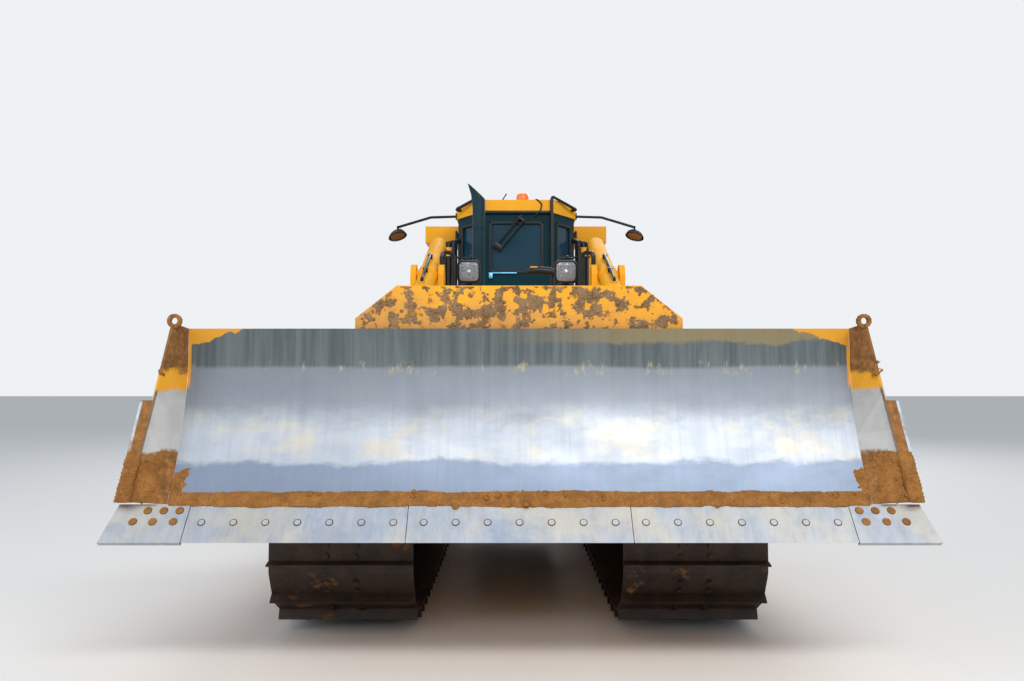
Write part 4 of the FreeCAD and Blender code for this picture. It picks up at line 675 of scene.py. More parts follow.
class Grower:
    """Small helper that grows one Geometry Nodes group with named inputs."""

    def __init__(self, name, knobs):
        self.group = bpy.data.node_groups.new(name, "GeometryNodeTree")
        self.knob("Geometry", "Geometry")
        self.group.interface.new_socket("Geometry", in_out="OUTPUT", socket_type="NodeSocketGeometry")
        self.start = self.group.nodes.new("NodeGroupInput")
        self.end = self.group.nodes.new("NodeGroupOutput")
        for knob, default in knobs.items():
            self.knob(knob, "Int" if isinstance(default, int) else "Float", default)
        self.knob("Material", "Material")

    def knob(self, name, kind, default=None):
        """Adds a named input."""
        socket = self.group.interface.new_socket(name, in_out="INPUT", socket_type="NodeSocket" + kind)
        if default is not None:
            socket.default_value = default

    def link(self, source, target):
        """Joins an output to an input, or sets the input to a plain value."""
        if isinstance(source, bpy.types.NodeSocket):
            self.group.links.new(source, target)
        else:
            target.default_value = source

    def node(self, kind, values=(), **settings):
        """A node with its settings and with some of its inputs joined or set, by name or place."""
        made = self.group.nodes.new(kind)
        for key, value in settings.items():
            setattr(made, key, value)
        for key, value in dict(values).items():
            self.link(value, made.inputs[key])
        return made

    def out(self, kind, values=(), which=0, **settings):
        """One output of a new node."""
        return self.node(kind, values, **settings).outputs[which]

    def taken(self, name):
        """The output that carries a named input."""
        return self.start.outputs[name]

    def math(self, operation, *values):
        """One arithmetic step."""
        return self.out("ShaderNodeMath", dict(enumerate(values)), operation=operation)

    def scaled(self, vector, factor):
        """A vector times a number."""
        return self.out("ShaderNodeVectorMath", {0: vector, "Scale": factor}, operation="SCALE")

    def joined(self, *parts):
        """Several geometries as one."""
        both = self.node("GeometryNodeJoinGeometry")
        for part in parts:
            self.link(part, both.inputs["Geometry"])
        return both.outputs["Geometry"]

    def copied(self, points, form, **values):
        """A form on every point."""
        return self.out("GeometryNodeInstanceOnPoints", {"Points": points, "Instance": form, **values})

    def finish(self, geometry):
        """Sets the group's result, with real faces and its material."""
        real = self.out("GeometryNodeRealizeInstances", {"Geometry": geometry})
        dressed = self.out("GeometryNodeSetMaterial", {"Geometry": real, "Material": self.taken("Material")})
        self.link(dressed, self.end.inputs["Geometry"])
        return self.group


WASHER_SIDES = 14
WASHER_SHARE = 0.35


def bolt_group():
    """Bolts: a low turned head with its washer on each point, square to the point's facing."""
    g = Grower("Bolts on points", {"Radius": 0.02, "Height": 0.01, "Sides": 6, "Washer": 1.3})
    radius, height = g.taken("Radius"), g.taken("Height")
    head = g.out("GeometryNodeMeshCylinder", {"Vertices": g.taken("Sides"), "Radius": radius, "Depth": height})
    rise = g.out("ShaderNodeCombineXYZ", {"Z": g.math("MULTIPLY", height, 0.5)})
    lifted = g.out("GeometryNodeTransform", {"Geometry": head, "Translation": rise})
    wide = g.math("MULTIPLY", radius, g.taken("Washer"))
    low = g.math("MULTIPLY", height, WASHER_SHARE)
    washer = g.out("GeometryNodeMeshCylinder", {"Vertices": WASHER_SIDES, "Radius": wide, "Depth": low})
    facing = g.out("GeometryNodeInputNamedAttribute", {"Name": "facing"}, "Attribute", data_type="FLOAT_VECTOR")
    turn = g.out("FunctionNodeAlignRotationToVector", {"Vector": facing}, axis="Z")
    return g.finish(g.copied(g.taken("Geometry"), g.joined(lifted, washer), Rotation=turn))


FULL_TURN = (6.28, 6.28, 6.28)
CRUST_FADE = 0.45
CRUST_CEILING = 0.22
CRUST_RISE = 5.0
BURIED_DEPTH = -0.0025
CLOD_RANGE = {2: 0.25, 3: 1.0}
CLOD_GRAIN = 55.0
CLOD_KNOBS = 0.7


def crust_group():
    """Soil crust: a patch that swells where noise is high, with clods scattered on it."""
    g = Grower("Soil crust", {"Height": 0.014, "Cover": 0.5, "Grain": 9.0, "Clods": 300.0, "Clod size": 0.03,
                              "Seed": 0})
    bed, seed, clod_size = g.taken("Geometry"), g.taken("Seed"), g.taken("Clod size")
    place = g.out("GeometryNodeInputPosition")
    coarse = g.out("ShaderNodeTexNoise", {"Vector": place, "W": seed, "Scale": g.taken("Grain"), "Detail": 6.0,
                                          "Roughness": 0.65}, "Fac", noise_dimensions="4D")
    fade = g.out("GeometryNodeInputNamedAttribute", {"Name": "fade"}, "Attribute", data_type="FLOAT")
    level = g.math("SUBTRACT", g.math("ADD", coarse, g.taken("Cover")), 1.0)
    level = g.math("SUBTRACT", level, g.math("MULTIPLY", g.math("SUBTRACT", 1.0, fade), CRUST_FADE))
    swell = g.math("MULTIPLY", g.taken("Height"), CRUST_RISE)
    rise = g.math("MULTIPLY", g.math("MINIMUM", level, CRUST_CEILING), swell)
    outward = g.scaled(g.out("GeometryNodeInputNormal"), rise)
    swollen = g.out("GeometryNodeSetPosition", {"Geometry": bed, "Offset": outward})
    buried = g.out("FunctionNodeCompare", {0: rise, 1: BURIED_DEPTH}, operation="LESS_THAN", data_type="FLOAT")
    skin = g.out("GeometryNodeDeleteGeometry", {"Geometry": swollen, "Selection": buried}, domain="POINT")
    scatter = g.out("GeometryNodeDistributePointsOnFaces", {"Mesh": skin, "Density": g.taken("Clods"),
                    "Seed": seed}, "Points")
    share = g.out("FunctionNodeRandomValue", {**CLOD_RANGE, "Seed": seed}, 1, data_type="FLOAT")
    size = g.math("MULTIPLY", g.math("POWER", share, 2.0), clod_size)
    turn = g.out("FunctionNodeRandomValue", {0: (0, 0, 0), 1: FULL_TURN, "Seed": seed}, "Value",
                 data_type="FLOAT_VECTOR")
    ball = g.out("GeometryNodeMeshIcoSphere", {"Radius": 0.5, "Subdivisions": 2}, "Mesh")
    lumps = g.copied(scatter, ball, Scale=size, Rotation=turn)
    lumps = g.out("GeometryNodeRealizeInstances", {"Geometry": lumps})
    rough = g.out("ShaderNodeTexNoise", {"Vector": place, "Scale": CLOD_GRAIN, "Detail": 2.0}, "Color")
    centred = g.out("ShaderNodeVectorMath", {0: rough, 1: (0.5, 0.5, 0.5)}, operation="SUBTRACT")
    shift = g.scaled(centred, g.math("MULTIPLY", clod_size, CLOD_KNOBS))
    knobbly = g.out("GeometryNodeSetPosition", {"Geometry": lumps, "Offset": shift})
    return g.finish(g.joined(skin, knobbly))


GROUPS = {}


def grown(name, seedbed, group, **values):
    """Plain mesh object that a Geometry Nodes group grows from an object, which it uses up."""
    modifier = seedbed.modifiers.new("grow", "NODES")
    modifier.node_group = group
    wanted = {key.replace("_", " "): value for key, value in values.items()}
    for socket in group.interface.items_tree:
        if socket.in_out == "INPUT" and socket.name in wanted:
            modifier[socket.identifier] = wanted[socket.name]
    depsgraph = bpy.context.evaluated_depsgraph_get()
    mesh = bpy.data.meshes.new_from_object(seedbed.evaluated_get(depsgraph), depsgraph=depsgraph)
    bpy.data.objects.remove(seedbed)
    return linked(name, mesh)


def bolts(name, points, body, finish, radius, height, sides=6, washer=1.3):
    """Bolts at (place, facing) pairs, as one piece."""
    seedbed = mesh_object(name + "_points", [place for place, facing in points])
    facings = seedbed.data.attributes.new("facing", "FLOAT_VECTOR", "POINT")
    for index, (place, facing) in enumerate(points):
        facings.data[index].vector = facing
    made = grown(name, seedbed, GROUPS["bolts"], Radius=radius, Height=height, Sides=sides, Washer=washer,
                 Material=PALETTE[finish])
    return finish_piece(made, body)


def mesh_tree(*meshes):
    """Search tree over the faces of meshes."""
    verts, faces = [], []
    for mesh in meshes:
        first = len(verts)
        verts += [vertex.co.copy() for vertex in mesh.vertices]
        faces += [[first + index for index in polygon.vertices] for polygon in mesh.polygons]
    return BVHTree.FromPolygons(verts, faces)


def surface_tree(*names):
    """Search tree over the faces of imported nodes."""
    return mesh_tree(*(NODES[name].data for name in names))


# Farthest that neighbours of a draped grid may lie apart along the rays and still be joined.
DRAPE_JUMP = 0.06


def draped_patch(name, tree, corner, along, up, cast, counts, fade=(0.25, 0.25)):
    """Grid of rays cast onto a surface, joined where neighbours land close together, fading to its rim."""
    corner, along, up, cast = Vector(corner), Vector(along), Vector(up), Vector(cast).normalized()
    columns, rows = counts
    grid, verts, fades = {}, [], []
    for row in range(rows + 1):
        for column in range(columns + 1):
            across, rise = column / columns, row / rows
            hit = tree.ray_cast(corner + along * across + up * rise, cast)[0]
            if hit is None:
                continue
            grid[column, row] = len(verts)
            verts.append(hit)
            fades.append(min(1.0, min(across, 1 - across) / fade[0], min(rise, 1 - rise) / fade[1]))
    faces = []
    for column, row in grid:
        ring = [grid.get((column + x, row + y)) for x, y in ((0, 0), (1, 0), (1, 1), (0, 1))]
        if None in ring:
            continue
        depths = [verts[index].dot(cast) for index in ring]
        if max(depths) - min(depths) < DRAPE_JUMP:
            faces.append(ring)
    bed = mesh_object(name + "_bed", verts, faces)
    mesh = bed.data
    mesh.attributes.new("fade", "FLOAT", "POINT").data.foreach_set("value", fades)
    if faces and mesh.polygons[0].normal.dot(cast) > 0:
        mesh.flip_normals()
    return bed


def crust(name, bed, body, height, cover, grain, clods, clod_size=1.0, seed=0):
    """Soil crust over a draped patch."""
    s = size_settings()
    made = grown(name, bed, GROUPS["crust"], Height=height, Cover=cover, Grain=grain, Clods=clods,
                 Clod_size=s.clod_size * clod_size, Seed=s.clod_seed + seed, Material=PALETTE["soil"])
    made.data.shade_smooth()
    return finish_piece(made, body)


SHARP_ANGLE = math.radians(35)
RING_SECTION = 8


class Piece:
    """Small helper that gathers solid forms into one fitting."""

    def __init__(self, name, finish, slot):
        self.name = name
        self.finish = finish
        self.slot = slot
        self.shape = bmesh.new()

    def block(self, centre, size, bevel=0.0, turn=None, segments=2):
        """Block about its centre, with its edges rounded."""
        place = Matrix.Translation(Vector(centre)) @ (turn.to_4x4() if turn else Matrix())
        made = bmesh.ops.create_cube(self.shape, size=1.0, matrix=place @ Matrix.Diagonal((*size, 1.0)))
        if bevel:
            edges = {edge for vert in made["verts"] for edge in vert.link_edges}
            bmesh.ops.bevel(self.shape, geom=list(edges), offset=bevel, segments=segments, affect="EDGES",
                            profile=0.5)

    def rod(self, start, end, radius, tip=None, sides=20):
        """Round bar, or a cone where the tip's radius differs."""
        start, end = Vector(start), Vector(end)
        turn = (end - start).to_track_quat("Z", "Y").to_matrix().to_4x4()
        bmesh.ops.create_cone(self.shape, cap_ends=True, segments=sides, radius1=radius,
                              radius2=radius if tip is None else tip, depth=(end - start).length,
                              matrix=Matrix.Translation((start + end) / 2) @ turn)

    def hoop(self, places):
        """New vertices in a row."""
        return [self.shape.verts.new(place) for place in places]

    def ring(self, centre, way, radius, thick, sides=28):
        """Round ring about an axis."""
        turn = Vector(way).to_track_quat("Z", "Y").to_matrix()
        section = [(radius + thick * c, Vector((0, 0, thick * n))) for c, n in rounds(RING_SECTION)]
        hoops = []
        for x, y in rounds(sides):
            out = Vector((x, y, 0))
            hoops.append(self.hoop(Vector(centre) + turn @ (out * reach + rise) for reach, rise in section))
        self.skin(hoops, True)

    def pipe(self, points, radius, bend=0.0, sides=12):
        """Round pipe along a route whose corners are rounded."""
        path = rounded_route(points, bend) if bend else [Vector(point) for point in points]
        hoops = []
        across = None
        for index, point in enumerate(path):
            way = (path[min(index + 1, len(path) - 1)] - path[max(index - 1, 0)]).normalized()
            if across is None:
                across = way.orthogonal().normalized()
            across = (across - way * across.dot(way)).normalized()
            beside = way.cross(across)
            hoops.append(self.hoop(point + across * (radius * c) + beside * (radius * n)
                                   for c, n in rounds(sides)))
        self.skin(hoops, False)

    def turned(self, centre, way, profile, sides=48):
        """Turned form through rings of (distance along an axis, radius)."""
        turn = Vector(way).to_track_quat("Z", "Y").to_matrix()
        hoops = []
        for along, radius in profile:
            places = [Vector((radius * x, radius * y, along)) for x, y in rounds(sides)]
            hoops.append(self.hoop(Vector(centre) + turn @ place for place in places))
        self.skin(hoops, False)

    def layered(self, centre, layers, closed):
        """Rounded squares that face ahead, through layers of (depth, half width)."""
        hoops = []
        for depth, half in layers:
            outline = rounded_square(half, half * SQUARE_CORNER)
            hoops.append(self.hoop(centre + Vector((x, depth, z)) for x, z in outline))
        self.skin(hoops, closed)

    def skin(self, hoops, closed):
        """Faces between hoops of vertices, with caps unless the last meets the first."""
        onwards = hoops[1:] + hoops[:1] if closed else hoops[1:]
        for hoop, onward in zip(hoops, onwards):
            for side, vert in enumerate(hoop):
                beside = (side + 1) % len(hoop)
                self.shape.faces.new((vert, hoop[beside], onward[beside], onward[side]))
        if not closed:
            self.shape.faces.new(hoops[0][::-1])
            self.shape.faces.new(hoops[-1])

    def moved(self, matrix):
        """Moves everything gathered so far."""
        bmesh.ops.transform(self.shape, matrix=matrix, verts=self.shape.verts)

    def done(self, body, replaced=()):
        """Makes the object and hands it to its body."""
        bmesh.ops.recalc_face_normals(self.shape, faces=self.shape.faces)
        mesh = bpy.data.meshes.new(self.name)
        self.shape.to_mesh(mesh)
        self.shape.free()
        mesh.materials.append(PALETTE[self.finish])
        mesh.shade_smooth()
        mesh.set_sharp_from_angle(angle=SHARP_ANGLE)
        return finish_piece(linked(self.name, mesh), body, replaced)


BEND_STEPS = 5


def rounded_route(points, bend):
    """Route whose corners follow arcs."""
    points = [Vector(point) for point in points]
    route = [points[0]]
    for before, corner, after in zip(points, points[1:], points[2:]):
        into, out = (corner - before).normalized(), (after - corner).normalized()
        room = min((corner - before).length, (after - corner).length) / 2
        reach = min(bend * math.tan(into.angle(out) / 2), room)
        start, end = corner - into * reach, corner + out * reach
        for step in range(BEND_STEPS + 1):
            t = step / BEND_STEPS
            route.append(start * (1 - t) ** 2 + corner * 2 * t * (1 - t) + end * t ** 2)
    return route + [points[-1]]


SQUARE_CORNER = 0.42
CORNER_STEPS = 4


def rounded_square(half, corner):
    """Outline of a square with rounded corners, round its centre."""
    outline = []
    for quarter in range(4):
        turn = math.pi / 2 * quarter + math.pi / 4
        hub = Vector((math.cos(turn), math.sin(turn))) * (half - corner) * math.sqrt(2)
        for step in range(CORNER_STEPS + 1):
            a = math.pi / 2 * (quarter + step / CORNER_STEPS)
            outline.append(hub + Vector((math.cos(a), math.sin(a))) * corner)
    return outline


def shifted(origin, points):
    """Points given from an origin."""
    return [origin + Vector(point) for point in points]


VIEW_START_Y = -4.0


def front_point(tree, x, z):
    """Place and facing where a ray from the front meets a surface."""
    place, facing = tree.ray_cast(Vector((x, VIEW_START_Y, z)), -AHEAD)[:2]
    return place, facing if facing.dot(AHEAD) >= 0 else -facing


class DOZER_OT_groups(bpy.types.Operator):
    """Grows the Geometry Nodes groups for bolts and soil"""
    bl_idname = "dozer.groups"
    bl_label = "Node groups"

    def execute(self, context):
        GROUPS["bolts"] = bolt_group()
        GROUPS["crust"] = crust_group()
        return {"FINISHED"}


EDGE_SECTIONS = 3
EDGE_BOLTS = 7
EDGE_BOLT_SHARE = 0.52
# Bolt holes of an end bit: share of its height from the top, and distance out from the cutting edge's end.
END_BIT_HOLES = ((0.17, 0.052), (0.17, 0.137), (0.17, 0.222), (0.46, 0.070), (0.46, 0.178), (0.46, 0.282))
# Shares of the plow bolts' radius: the brown ring round each and its bright head.
SOCKET_SHARE = 1.12
HEAD_SHARE = 0.84
HOLE_RADIUS = 0.0225
PLUG_RADIUS = 0.0205


class DOZER_OT_edge_bolts(bpy.types.Operator):
    """Plow bolts along the cutting edge, and the soil-filled bolt holes of the end bits"""
    bl_idname = "dozer.edge_bolts"
    bl_label = "Edge bolts"

    def execute(self, context):
        s = size_settings()
        edge, bits = surface_tree("cutting_edges"), surface_tree("end_bits")
        low, high = corners("cutting_edges")
        tall = high.z - low.z
        heads = []
        for section in range(EDGE_SECTIONS):
            centre = (section - 1) * high.x * 2 / EDGE_SECTIONS
            for place in range(EDGE_BOLTS):
                x = centre + (place - (EDGE_BOLTS - 1) / 2) * s.bolt_pitch
                heads.append(front_point(edge, x, low.z + tall * EDGE_BOLT_SHARE))
        holes = [front_point(bits, side * (high.x + reach), high.z - tall * share)
                 for name, side in SIDES for share, reach in END_BIT_HOLES]
        ring, head = s.bolt_radius * SOCKET_SHARE, s.bolt_radius * HEAD_SHARE
        for name, places, slot, finish, radius, height, sides in (
                ("plow_bolt_sockets", heads, "edge_steel", "ring_brown", ring, 0.0012, 20),
                ("plow_bolts", heads, "edge_steel", "edge_steel", head, 0.0032, 20),
                ("end_bit_hole_rims", holes, "edge_steel", "socket", HOLE_RADIUS, 0.0012, 20),
                ("end_bit_soil_plugs", holes, "track_steel", "soil", PLUG_RADIUS, 0.0036, 16)):
            bolts(name, places, BLADE, finish, radius, height, sides, 1.0)
        return {"FINISHED"}


PLATE_SLANT = 0.42
PLATE_SOIL_REACH = 0.55
PLATE_SOIL = (("low", -0.06, 0.40, 0.016), ("high", 0.66, 0.36, 0.034))
RIGHT_LUMP = 1.6
CORNER_SOIL = 0.22
FOOT_SOIL_TALL = 0.100


class DOZER_OT_blade_soil(bpy.types.Operator):
    """Dried soil along the moldboard's foot, on the end plates and on the spill guard"""
    bl_idname = "dozer.blade_soil"
    bl_label = "Blade soil"

    def execute(self, context):
        low, high = corners("moldboard")
        half = high.x
        face = surface_tree("moldboard", "cutting_edges")
        bed = draped_patch("foot_soil", face, (-half, VIEW_START_Y, low.z - 0.012), (2 * half, 0, 0),
                           (0, 0, FOOT_SOIL_TALL), -AHEAD, (480, 16), (0.004, 0.20))
        crust("foot_soil", bed, BLADE, 0.010, 0.70, 6.0, 120.0, 0.80, 1)
        plates = surface_tree("end_plates")
        for name, side in SIDES:
            self.plate_soil(plates, name, side, half, low.z)
            label = "corner_soil_" + name
            corner = (side * (half - 0.10), VIEW_START_Y, low.z - 0.01)
            bed = draped_patch(label, face, corner, (side * CORNER_SOIL, 0, 0), (0, 0, CORNER_SOIL), -AHEAD,
                               (50, 50), (0.48, 0.48))
            crust(label, bed, BLADE, 0.010, 0.84, 8.0, 300.0, 0.35, 9)
        low, high = corners("spill_guard")
        bed = draped_patch("guard_soil", surface_tree("spill_guard"), (low.x, VIEW_START_Y, low.z),
                           (high.x - low.x, 0, 0), (0, 0, high.z - low.z), -AHEAD, (300, 44), (0.02, 0.02))
        crust("guard_soil", bed, BLADE, 0.012, 0.490, 13.0, 3200.0, 0.38, 7)
        return {"FINISHED"}

    def plate_soil(self, plates, name, side, half, foot_z):
        """Soil low and high on one end plate, thicker on the right one's top."""
        along = (side * PLATE_SOIL_REACH, PLATE_SOIL_REACH * PLATE_SLANT, 0)
        for part, foot, rise, height in PLATE_SOIL:
            label = "plate_soil_" + part + "_" + name
            corner = (side * (half - 0.2), -3.2, foot_z + foot)
            bed = draped_patch(label, plates, corner, along, (0, 0, rise), (side * PLATE_SLANT, 1.0, 0), (90, 60))
            lump = RIGHT_LUMP if part == "high" and side > 0 else 1.0
            crust(label, bed, BLADE, height * lump, 0.62 + 0.08 * lump, 9.0, 350.0, 0.4, 3 + int(side))


LAMP_RIM_WIDE = 0.013
LAMP_RIBS = 9
LAMP_RIB_RADIUS = 0.0036
LAMP_BULB = ((0, 0.012), (0.003, 0.012), (0.004, 0.006))


def lamp_on_hood(name, side):
    """Rim, ribbed lens, hanger and cable of one work lamp on the hood."""
    low, high = corners("lamp_lenses")
    half = (high.z - low.z) / 2
    centre = Vector((side * (high.x - half), low.y, (low.z + high.z) / 2))
    wide = half + LAMP_RIM_WIDE
    rim = Piece("work_lamp_rim_" + name, "black", "cab_black")
    rim.layered(centre, ((0.012, wide), (-0.006, wide), (-0.008, half + 0.004), (0.004, half - 0.001)), True)
    hanger = ((-0.050, 0.06, half + 0.008), (-0.050, 0.04, half + 0.034), (0.050, 0.04, half + 0.034),
              (0.050, 0.06, half + 0.008))
    rim.pipe(shifted(centre, hanger), 0.005, 0.02)
    rim.block(centre + Vector((0.012, 0.04, half + 0.040)), (0.020, 0.03, 0.022), 0.004)
    for x in (-0.05, 0.05):
        rim.block(centre + Vector((x, 0.05, half + 0.014)), (0.022, 0.03, 0.020), 0.004)
    cable = ((0.02, 0.09, half * 0.4), (side * -0.06, 0.15, half * 0.2), (side * -0.07, 0.16, -half - 0.09),
             (side * -0.03, 0.16, -half - 0.105))
    rim.pipe(shifted(centre, cable), 0.008, 0.05)
    rim.done(TRACTOR)
    glass = Piece("work_lamp_lens_" + name, "lens", "lamp_glass")
    glass.layered(centre, ((0.006, half - 0.002), (-0.003, half - 0.002), (-0.008, half - 0.010),
                           (-0.010, half * 0.6), (-0.0105, half * 0.2)), False)
    for step in range(LAMP_RIBS):
        x = (step - (LAMP_RIBS - 1) / 2) * 2 * half / (LAMP_RIBS + 1)
        reach = half - 0.014 - 0.2 * abs(x)
        glass.rod(*shifted(centre, ((x, -0.008, -reach), (x, -0.008, reach))), LAMP_RIB_RADIUS, sides=8)
    glass.done(TRACTOR, ("lamp_lenses",) if side > 0 else ())
    bulb = Piece("work_lamp_bulb_" + name, "reflector", "lamp_glass")
    bulb.turned(centre + AHEAD * 0.0115, AHEAD, LAMP_BULB, 20)
    bulb.done(TRACTOR)


ARM_ROUTE = ((0.5735, 0.775, 3.200), (0.822, 0.775, 3.192), (1.140, 0.775, 3.096))
ARM_LAMP_TILT = 0.50
ARM_LAMP_FLAT = 0.60
# Sections of a roof lamp from its back to its face: distance towards the face, and radius.
ARM_LAMP_HOOD = ((-0.075, 0.012), (-0.072, 0.035), (-0.055, 0.060), (-0.030, 0.080), (-0.002, 0.090),
                 (0.012, 0.093), (0.013, 0.088), (0.001, 0.078), (0.0, 0.02))
ARM_LAMP_GLASS = ((0.001, 0.074), (0.006, 0.072), (0.010, 0.055), (0.012, 0.02))


def arm_lamp_part(name, finish, slot, profile, place):
    """Turned part of a roof lamp, flattened and put in its place."""
    part = Piece(name, finish, slot)
    part.turned((0, 0, 0), UPWARD, profile, 40)
    part.moved(place)
    part.done(TRACTOR)


def lamp_on_arm(name, side):
    """Arm from the roof with its hooded lamp, whose face looks forwards and down."""
    arm = Piece("lamp_arm_" + name, "black", "cab_black")
    route = [Vector((side * x, y, z)) for x, y, z in ARM_ROUTE]
    arm.pipe(route, 0.0125, 0.05)
    arm.block(route[0] + Vector((side * 0.004, 0, 0)), (0.010, 0.06, 0.06), 0.003)
    arm.rod(route[-1] + UPWARD * 0.012, route[-1] - UPWARD * 0.045, 0.010, sides=12)
    out = Vector((side * -0.12, -0.60, -0.78)).normalized()
    along = Vector((side * math.cos(ARM_LAMP_TILT), 0, -math.sin(ARM_LAMP_TILT)))
    along = (along - out * along.dot(out)).normalized()
    flat = Matrix((along, out.cross(along) * ARM_LAMP_FLAT, out)).transposed().to_4x4()
    place = Matrix.Translation(route[-1] - UPWARD * 0.082) @ flat
    arm_lamp_part("arm_lamp_hood_" + name, "black", "cab_black", ARM_LAMP_HOOD, place)
    arm.done(TRACTOR, ("lamp_arms",) if side > 0 else ())
    arm_lamp_part("arm_lamp_glass_" + name, "lamp_brown", "lamp_glass", ARM_LAMP_GLASS, place)


BEACON_PROFILE = (0.97, 0.98, 0.98, 0.97, 0.96, 0.92, 0.80)
BEACON_RISE = 0.030
BEACON_FOOT = 0.012


def roof_beacon():
    """Beacon's dome in short cones, on its foot."""
    low, high = corners("beacon")
    radius = (high.x - low.x) / 2
    base = Vector(((low.x + high.x) / 2, (low.y + high.y) / 2, low.z))
    tall = high.z - low.z - BEACON_FOOT - 0.001 + BEACON_RISE
    dome = Piece("beacon_dome", "beacon", "beacon_orange")
    steps = len(BEACON_PROFILE) - 1
    for step in range(steps):
        start, end = (base + UPWARD * (BEACON_FOOT + tall * place / steps) for place in (step, step + 1))
        dome.rod(start, end, radius * BEACON_PROFILE[step], radius * BEACON_PROFILE[step + 1], 40)
    dome.done(TRACTOR, ("beacon",))
    foot = Piece("beacon_foot", "black", "cab_black")
    foot.rod(base - UPWARD * 0.0005, base + UPWARD * (BEACON_FOOT + 0.002), radius * 0.99, sides=40)
    foot.done(TRACTOR)


class DOZER_OT_lamps(bpy.types.Operator):
    """Lamps on the hood and on the roof arms, and the beacon"""
    bl_idname = "dozer.lamps"
    bl_label = "Lamps"

    def execute(self, context):
        for name, side in SIDES:
            lamp_on_hood(name, side)
            lamp_on_arm(name, side)
        roof_beacon()
        return {"FINISHED"}


# Half width, foot and head of the front window, and the plan run of the slanted panes beside it.
FRONT_WINDOW = (0.245, 2.62, 3.085)
SLANT_START = (0.335, 0.440)
SLANT_END = (0.555, 0.760)
SLANT_INSET = 0.07
SLANT_FOOT_Z = 2.25
GASKET_WIDE = 0.022
GASKET_DEEP = 0.020


def window_gasket(piece, rim, inward):
    """Rubber strip round a window given by its corners."""
    points = [Vector(corner) for corner in rim]
    centre = sum(points, Vector()) / len(points)
    across = Vector(inward).normalized()
    for point, onward in zip(points, points[1:] + points[:1]):
        middle = (point + onward) / 2
        along = (onward - point).normalized()
        turn = Matrix((along, across, along.cross(across))).transposed()
        size = ((onward - point).length + GASKET_WIDE * 0.6, GASKET_DEEP, GASKET_WIDE)
        piece.block(middle + (centre - middle).normalized() * GASKET_WIDE * 0.2, size, 0.005, turn)


def upright_window(piece, a, b, foot, head, inward):
    """Rubber strip round a window that stands over a line between two places in plan."""
    window_gasket(piece, [(*a, foot), (*b, foot), (*b, head), (*a, head)], inward)


def front_strips(front):
    """Strips round the front window, with its corner gussets, and round the slanted panes."""
    half, foot, head = FRONT_WINDOW
    strips = Piece("window_strips", "rubber", "dark_plastic")
    upright_window(strips, (-half, front), (half, front), foot, head, -AHEAD)
    for x in (-1, 1):
        for z, up in ((foot, 1), (head, -1)):
            place = (x * (half - 0.022), front, z + up * 0.0165)
            strips.block(place, (0.05, 0.018, 0.012), 0.003, Matrix.Rotation(-x * up * 0.785, 3, "Y"))
    for name, side in SIDES:
        start, end = Vector((side * SLANT_START[0], SLANT_START[1])), Vector((side * SLANT_END[0], SLANT_END[1]))
        run = (end - start).normalized()
        outward = (side * abs(run.y), -abs(run.x), 0)
        upright_window(strips, start + run * SLANT_INSET, end - run * SLANT_INSET, SLANT_FOOT_Z, head, outward)
    strips.done(TRACTOR)


WIPER_PIVOT = (-0.165, 2.855)
WIPER_TIP = (0.045, 3.110)
WIPER_AHEAD = 0.030


def front_wiper(front):
    """Two-armed wiper with its motor, head and blade."""
    wiper = Piece("front_wiper", "black", "cab_black")
    pivot, tip = (Vector((x, front - WIPER_AHEAD, z)) for x, z in (WIPER_PIVOT, WIPER_TIP))
    run = (tip - pivot).normalized()
    beside = run.cross(-AHEAD)
    turn = Matrix((beside, -AHEAD, run)).transposed()
    for gap in (-0.028, 0.022):
        wiper.rod(pivot + beside * gap, tip + beside * gap, 0.011, sides=8)
    wiper.block(pivot + beside * 0.004, (0.095, 0.045, 0.050), 0.012, turn)
    wiper.block(tip - beside * 0.003, (0.085, 0.030, 0.030), 0.008, turn)
    wiper.block(pivot + run * 0.20 - AHEAD * 0.014 + beside * 0.022, (0.010, 0.016, 0.34), 0.003, turn)
    wiper.done(TRACTOR)


# Routes on the roof, from the middle of its front top edge.
AERIAL_ROUTE = ((-0.135, 0.10, 0.0), (-0.135, 0.10, 0.012), (-0.090, 0.08, 0.080))
CABLE_ROUTE = ((0.170, 0.02, 0.003), (0.190, -0.024, 0.004), (0.235, -0.026, -0.040), (0.222, -0.026, -0.100),
               (0.168, -0.022, -0.155))


def roof_wires(front):
    """Aerial, cable and front rail of the roof."""
    low, high = corners("cab_roof")
    edge = Vector((0, front, high.z))
    wires = Piece("roof_aerial_and_cable", "black", "cab_black")
    wires.pipe(shifted(edge, AERIAL_ROUTE), 0.0055, sides=8)
    wires.pipe(shifted(edge, CABLE_ROUTE), 0.0065, 0.02, 8)
    wires.block((0, front - 0.022, low.z + 0.006), (0.62, 0.012, 0.026), 0.003)
    wires.done(TRACTOR)


DOOR_SKIN_INSET = 0.026
DOOR_HANDLE = (0.86, 1.90)


def door_handle(name, side, outer):
    """Plate, stub and grip on a cab door."""
    place = Vector((side * (outer - DOOR_SKIN_INSET), *DOOR_HANDLE))
    handle = Piece("door_handle_" + name, "black", "cab_black")
    handle.block(place + Vector((side * 0.006, 0, 0)), (0.012, 0.05, 0.15), 0.005)
    handle.rod(*shifted(place, ((side * 0.004, 0, 0.045), (side * 0.05, 0, 0.045))), 0.008)
    handle.block(place + Vector((side * 0.052, 0, 0)), (0.014, 0.022, 0.13), 0.006)
    handle.done("cab_door_" + name)


class DOZER_OT_cab_trim(bpy.types.Operator):
    """Window strips, wiper, aerial, cable and handles of the cab"""
    bl_idname = "dozer.cab_trim"
    bl_label = "Cab trim"

    def execute(self, context):
        low, high = corners("cab_frame")
        front_strips(low.y)
        front_wiper(low.y)
        roof_wires(low.y)
        for name, side in SIDES:
            door_handle(name, side, high.x)
        return {"FINISHED"}


